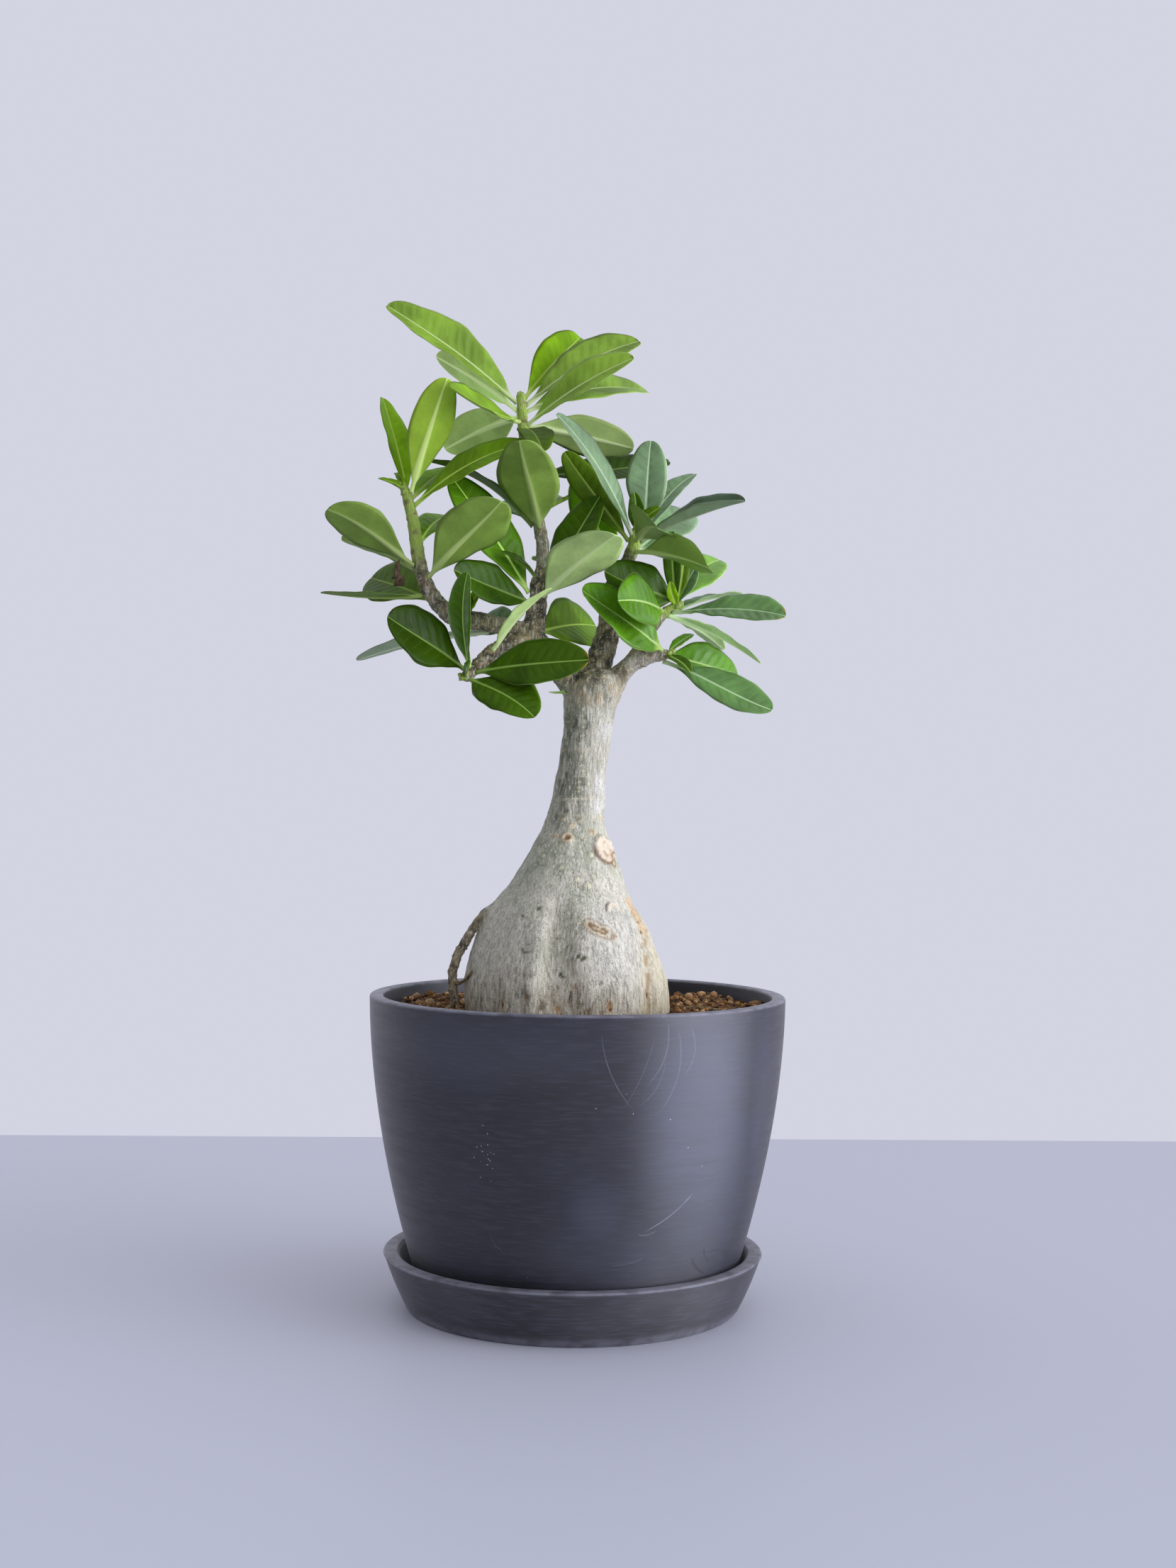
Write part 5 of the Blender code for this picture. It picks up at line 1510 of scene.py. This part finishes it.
def studio_light(settings):
    """A pale room, dimmer at the front left, with a wide soft window at the right.

    The light from a direction is surround * dim + window * S(1 - its distance from the window's
    middle), with heights counted more so that the window is wider than it is tall.
    """
    world = bpy.data.worlds.new("studio")
    world.use_nodes = True
    node = partial(add_node, world.node_tree)
    way = node("TexCoord", output="Generated")
    off = node("VectorMath", way, way_to(WINDOW_AZIMUTH, WINDOW_HEIGHT), operation="SUBTRACT")
    off = node("VectorMath", off, (1.0, 1.0, 1.5), operation="MULTIPLY")
    off = node("VectorMath", off, operation="LENGTH")
    window = node("MapRange", off, 0.35, 0.85, settings.window, 0.0, **SOFT)
    dark = node("VectorMath", way, way_to(DIM_AZIMUTH, DIM_HEIGHT), operation="DOT_PRODUCT")
    dim = node("MapRange", dark, 0.3, 0.95, 1.0, settings.dim, **SOFT)
    strength = node("Math", node("Math", dim, settings.surround, **TIMES), window, operation="ADD")
    # Seen directly the room is one even tone; the window's shape shows only in the light it gives.
    seen = node("LightPath", output="Is Camera Ray")
    strength = node("Mix", seen, strength, 1.0)
    back = world.node_tree.nodes["Background"]
    back.inputs["Color"].default_value = (*settings.wall_light, 1.0)
    world.node_tree.links.new(strength, back.inputs["Strength"])
    bpy.context.scene.world = world


def sun(name, way, spread_angle, power):
    """A soft distant lamp that shines from a direction."""
    lamp = bpy.data.lights.new(name, "SUN")
    lamp.energy = power
    lamp.angle = math.radians(spread_angle)
    holder = bpy.data.objects.new(name, lamp)
    holder.rotation_euler = way.to_track_quat("Z", "Y").to_euler()
    bpy.context.scene.collection.objects.link(holder)


def make_stage(settings):
    """Floor, surrounding light, lamps and camera."""
    scene = bpy.context.scene
    mesh = bpy.data.meshes.new("floor")
    rise = TABLE_SLOPE * TABLE_HALF
    mesh.from_pydata([
        (-TABLE_HALF, TABLE_FRONT, 0), (TABLE_HALF, TABLE_FRONT, 0), (TABLE_HALF, TABLE_FAR + rise, 0),
        (-TABLE_HALF, TABLE_FAR - rise, 0)], [], [(0, 1, 2, 3)])
    mesh.materials.append(painted_board(settings))
    floor = bpy.data.objects.new("floor", mesh)
    scene.collection.objects.link(floor)
    studio_light(settings)
    sun("key", way_to(WINDOW_AZIMUTH, 0), KEY_SPREAD, settings.key)
    scene.view_settings.view_transform = "Standard"
    camera = bpy.data.cameras.new("camera")
    camera.lens = CAMERA_LENS
    camera.sensor_width = CAMERA_SENSOR
    holder = bpy.data.objects.new("camera", camera)
    holder.location = CAMERA_PLACE
    pitch, roll, yaw = (math.radians(angle) for angle in CAMERA_TURN)
    turned = Matrix.Rotation(yaw, 3, "Z") @ Matrix.Rotation(math.pi / 2 + pitch, 3, "X")
    turned = turned @ Matrix.Rotation(roll, 3, "Z")
    holder.rotation_euler = turned.to_euler()
    scene.collection.objects.link(holder)
    scene.camera = holder


# ---- Settings, operators and panel ----

def colour_setting(label, text, code):
    """A colour picker whose default is an sRGB hex colour."""
    return bpy.props.FloatVectorProperty(
        name=label, description=text, subtype="COLOR", size=3, min=0, max=1,
        default=tuple(float(c) for c in linear(code)))


def factor_setting(label, text, default, most=1.0):
    """A share from 0 to `most`."""
    return bpy.props.FloatProperty(
        name=label, description=text, default=default, min=0, max=most, subtype="FACTOR")


def strength_setting(label, text, default):
    """A light's strength, from 0 up."""
    return bpy.props.FloatProperty(name=label, description=text, default=default, min=0)


class PotSettings(bpy.types.PropertyGroup):
    """Colours and wear of the pot and its saucer"""
    shade: colour_setting("Pot", "The pot's main colour", "10121A")
    haze: colour_setting("Pot haze", "Colour of the pot's hazed patches", "1E2231")
    saucer_shade: colour_setting("Saucer", "The saucer's main colour", "15151A")
    saucer_haze: colour_setting("Saucer haze", "Colour of the saucer's hazed patches", "39393F")
    # The dust colour also inks the painted highlight patches on the pot's front.
    dust: colour_setting("Dust", "Colour of the dust in the brush marks", "525668")
    # On the pot's rim the pale edge is also a painted highlight.
    wear: factor_setting("Edge wear", "How pale the worn edges are", 0.55)


class WoodSettings(bpy.types.PropertyGroup):
    """Colours and relief of the bark"""
    bark: colour_setting("Bark", "The caudex's pale bark", "D2CEBB")
    green_bark: colour_setting("Green bark", "Living green that shows through", "A2AA8D")
    silver_bark: colour_setting("Silver bark", "The trunk's silvery side", "C9C8BE")
    relief: factor_setting("Relief", "How deep the bark's relief is", 1.0, 2.0)


class LeafSettings(bpy.types.PropertyGroup):
    """Relief and veins of the leaves"""
    ruffle: factor_setting("Ruffle", "How wavy the leaf margins are", 1.0, 2.0)
    veins: factor_setting("Veins", "How clear the side veins are", 0.16)


class SoilSettings(bpy.types.PropertyGroup):
    """Loose grains on the soil"""
    grains: factor_setting("Grains", "How many loose grains lie on the soil", 1.0)


class StageSettings(bpy.types.PropertyGroup):
    """Floor and lights"""
    floor_colour: colour_setting("Floor", "Colour of the floor behind the plant", "CDCED8")
    front_colour: colour_setting("Front floor", "Colour of the floor nearest the camera", "D1D4DD")
    wall_light: colour_setting("Surround", "Colour of the room and of its light", "D3D4E2")
    surround: strength_setting("Surround light", "Strength of the room's light", 1.05)
    dim: factor_setting("Dim side", "Share of the room's light that comes from the front left", 0.45)
    window: strength_setting("Window", "Strength of the window at the right", 5.5)
    key: strength_setting("Key", "Strength of the lamp at the right", 0.6)


class DESERTROSE_OT_pot(bpy.types.Operator):
    """Turn the pot and its saucer"""
    bl_idname = "desertrose.pot"
    bl_label = "Pot and Saucer"

    def execute(self, context):
        make_saucer(context.scene.desertrose_pot)
        make_pot(context.scene.desertrose_pot)
        return {"FINISHED"}


class DESERTROSE_OT_soil(bpy.types.Operator):
    """Fill the pot with soil and scatter its grains"""
    bl_idname = "desertrose.soil"
    bl_label = "Soil"

    def execute(self, context):
        make_soil(context.scene.desertrose_soil)
        return {"FINISHED"}


class DESERTROSE_OT_wood(bpy.types.Operator):
    """Grow the bark over caudex, trunk and limbs"""
    bl_idname = "desertrose.wood"
    bl_label = "Wood"

    def execute(self, context):
        make_wood(context.scene.desertrose_wood)
        return {"FINISHED"}


class DESERTROSE_OT_leaves(bpy.types.Operator):
    """Shape the full-size leaves"""
    bl_idname = "desertrose.leaves"
    bl_label = "Leaves"

    def execute(self, context):
        make_leaves(context.scene.desertrose_leaves)
        return {"FINISHED"}


class DESERTROSE_OT_growth(bpy.types.Operator):
    """Shape the small leaves, the buds and the rootlets"""
    bl_idname = "desertrose.growth"
    bl_label = "Young Growth, Buds and Rootlets"

    def execute(self, context):
        make_young_growth(context.scene.desertrose_leaves)
        make_buds_and_roots()
        return {"FINISHED"}


class DESERTROSE_OT_stage(bpy.types.Operator):
    """Set the floor, the lights and the camera"""
    bl_idname = "desertrose.stage"
    bl_label = "Stage"

    def execute(self, context):
        make_stage(context.scene.desertrose_stage)
        return {"FINISHED"}


OPERATORS = [
    DESERTROSE_OT_pot, DESERTROSE_OT_soil, DESERTROSE_OT_wood, DESERTROSE_OT_leaves,
    DESERTROSE_OT_growth, DESERTROSE_OT_stage,
]
SETTINGS = {
    "desertrose_pot": PotSettings, "desertrose_wood": WoodSettings, "desertrose_leaves": LeafSettings,
    "desertrose_soil": SoilSettings, "desertrose_stage": StageSettings,
}


class DESERTROSE_PT_panel(bpy.types.Panel):
    """Buttons that build the plant, and their settings"""
    bl_label = "Desert Rose"
    bl_space_type = "VIEW_3D"
    bl_region_type = "UI"
    bl_category = "Desert Rose"

    def draw(self, context):
        for operator in OPERATORS:
            self.layout.operator(operator.bl_idname)
        for label, group in SETTINGS.items():
            box = self.layout.box()
            for setting in group.__annotations__:
                box.prop(getattr(context.scene, label), setting)


def register():
    """Make the settings, operators and panel known to Blender."""
    for item in (*SETTINGS.values(), *OPERATORS, DESERTROSE_PT_panel):
        bpy.utils.register_class(item)
    for label, group in SETTINGS.items():
        setattr(bpy.types.Scene, label, bpy.props.PointerProperty(type=group))


def unregister():
    """Undo register."""
    for label in SETTINGS:
        delattr(bpy.types.Scene, label)
    for item in reversed((*SETTINGS.values(), *OPERATORS, DESERTROSE_PT_panel)):
        bpy.utils.unregister_class(item)


def main():
    """Register the add-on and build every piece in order."""
    register()
    bpy.ops.desertrose.pot()
    bpy.ops.desertrose.soil()
    bpy.ops.desertrose.wood()
    bpy.ops.desertrose.leaves()
    bpy.ops.desertrose.growth()
    bpy.ops.desertrose.stage()


if __name__ == "__main__":
    main()
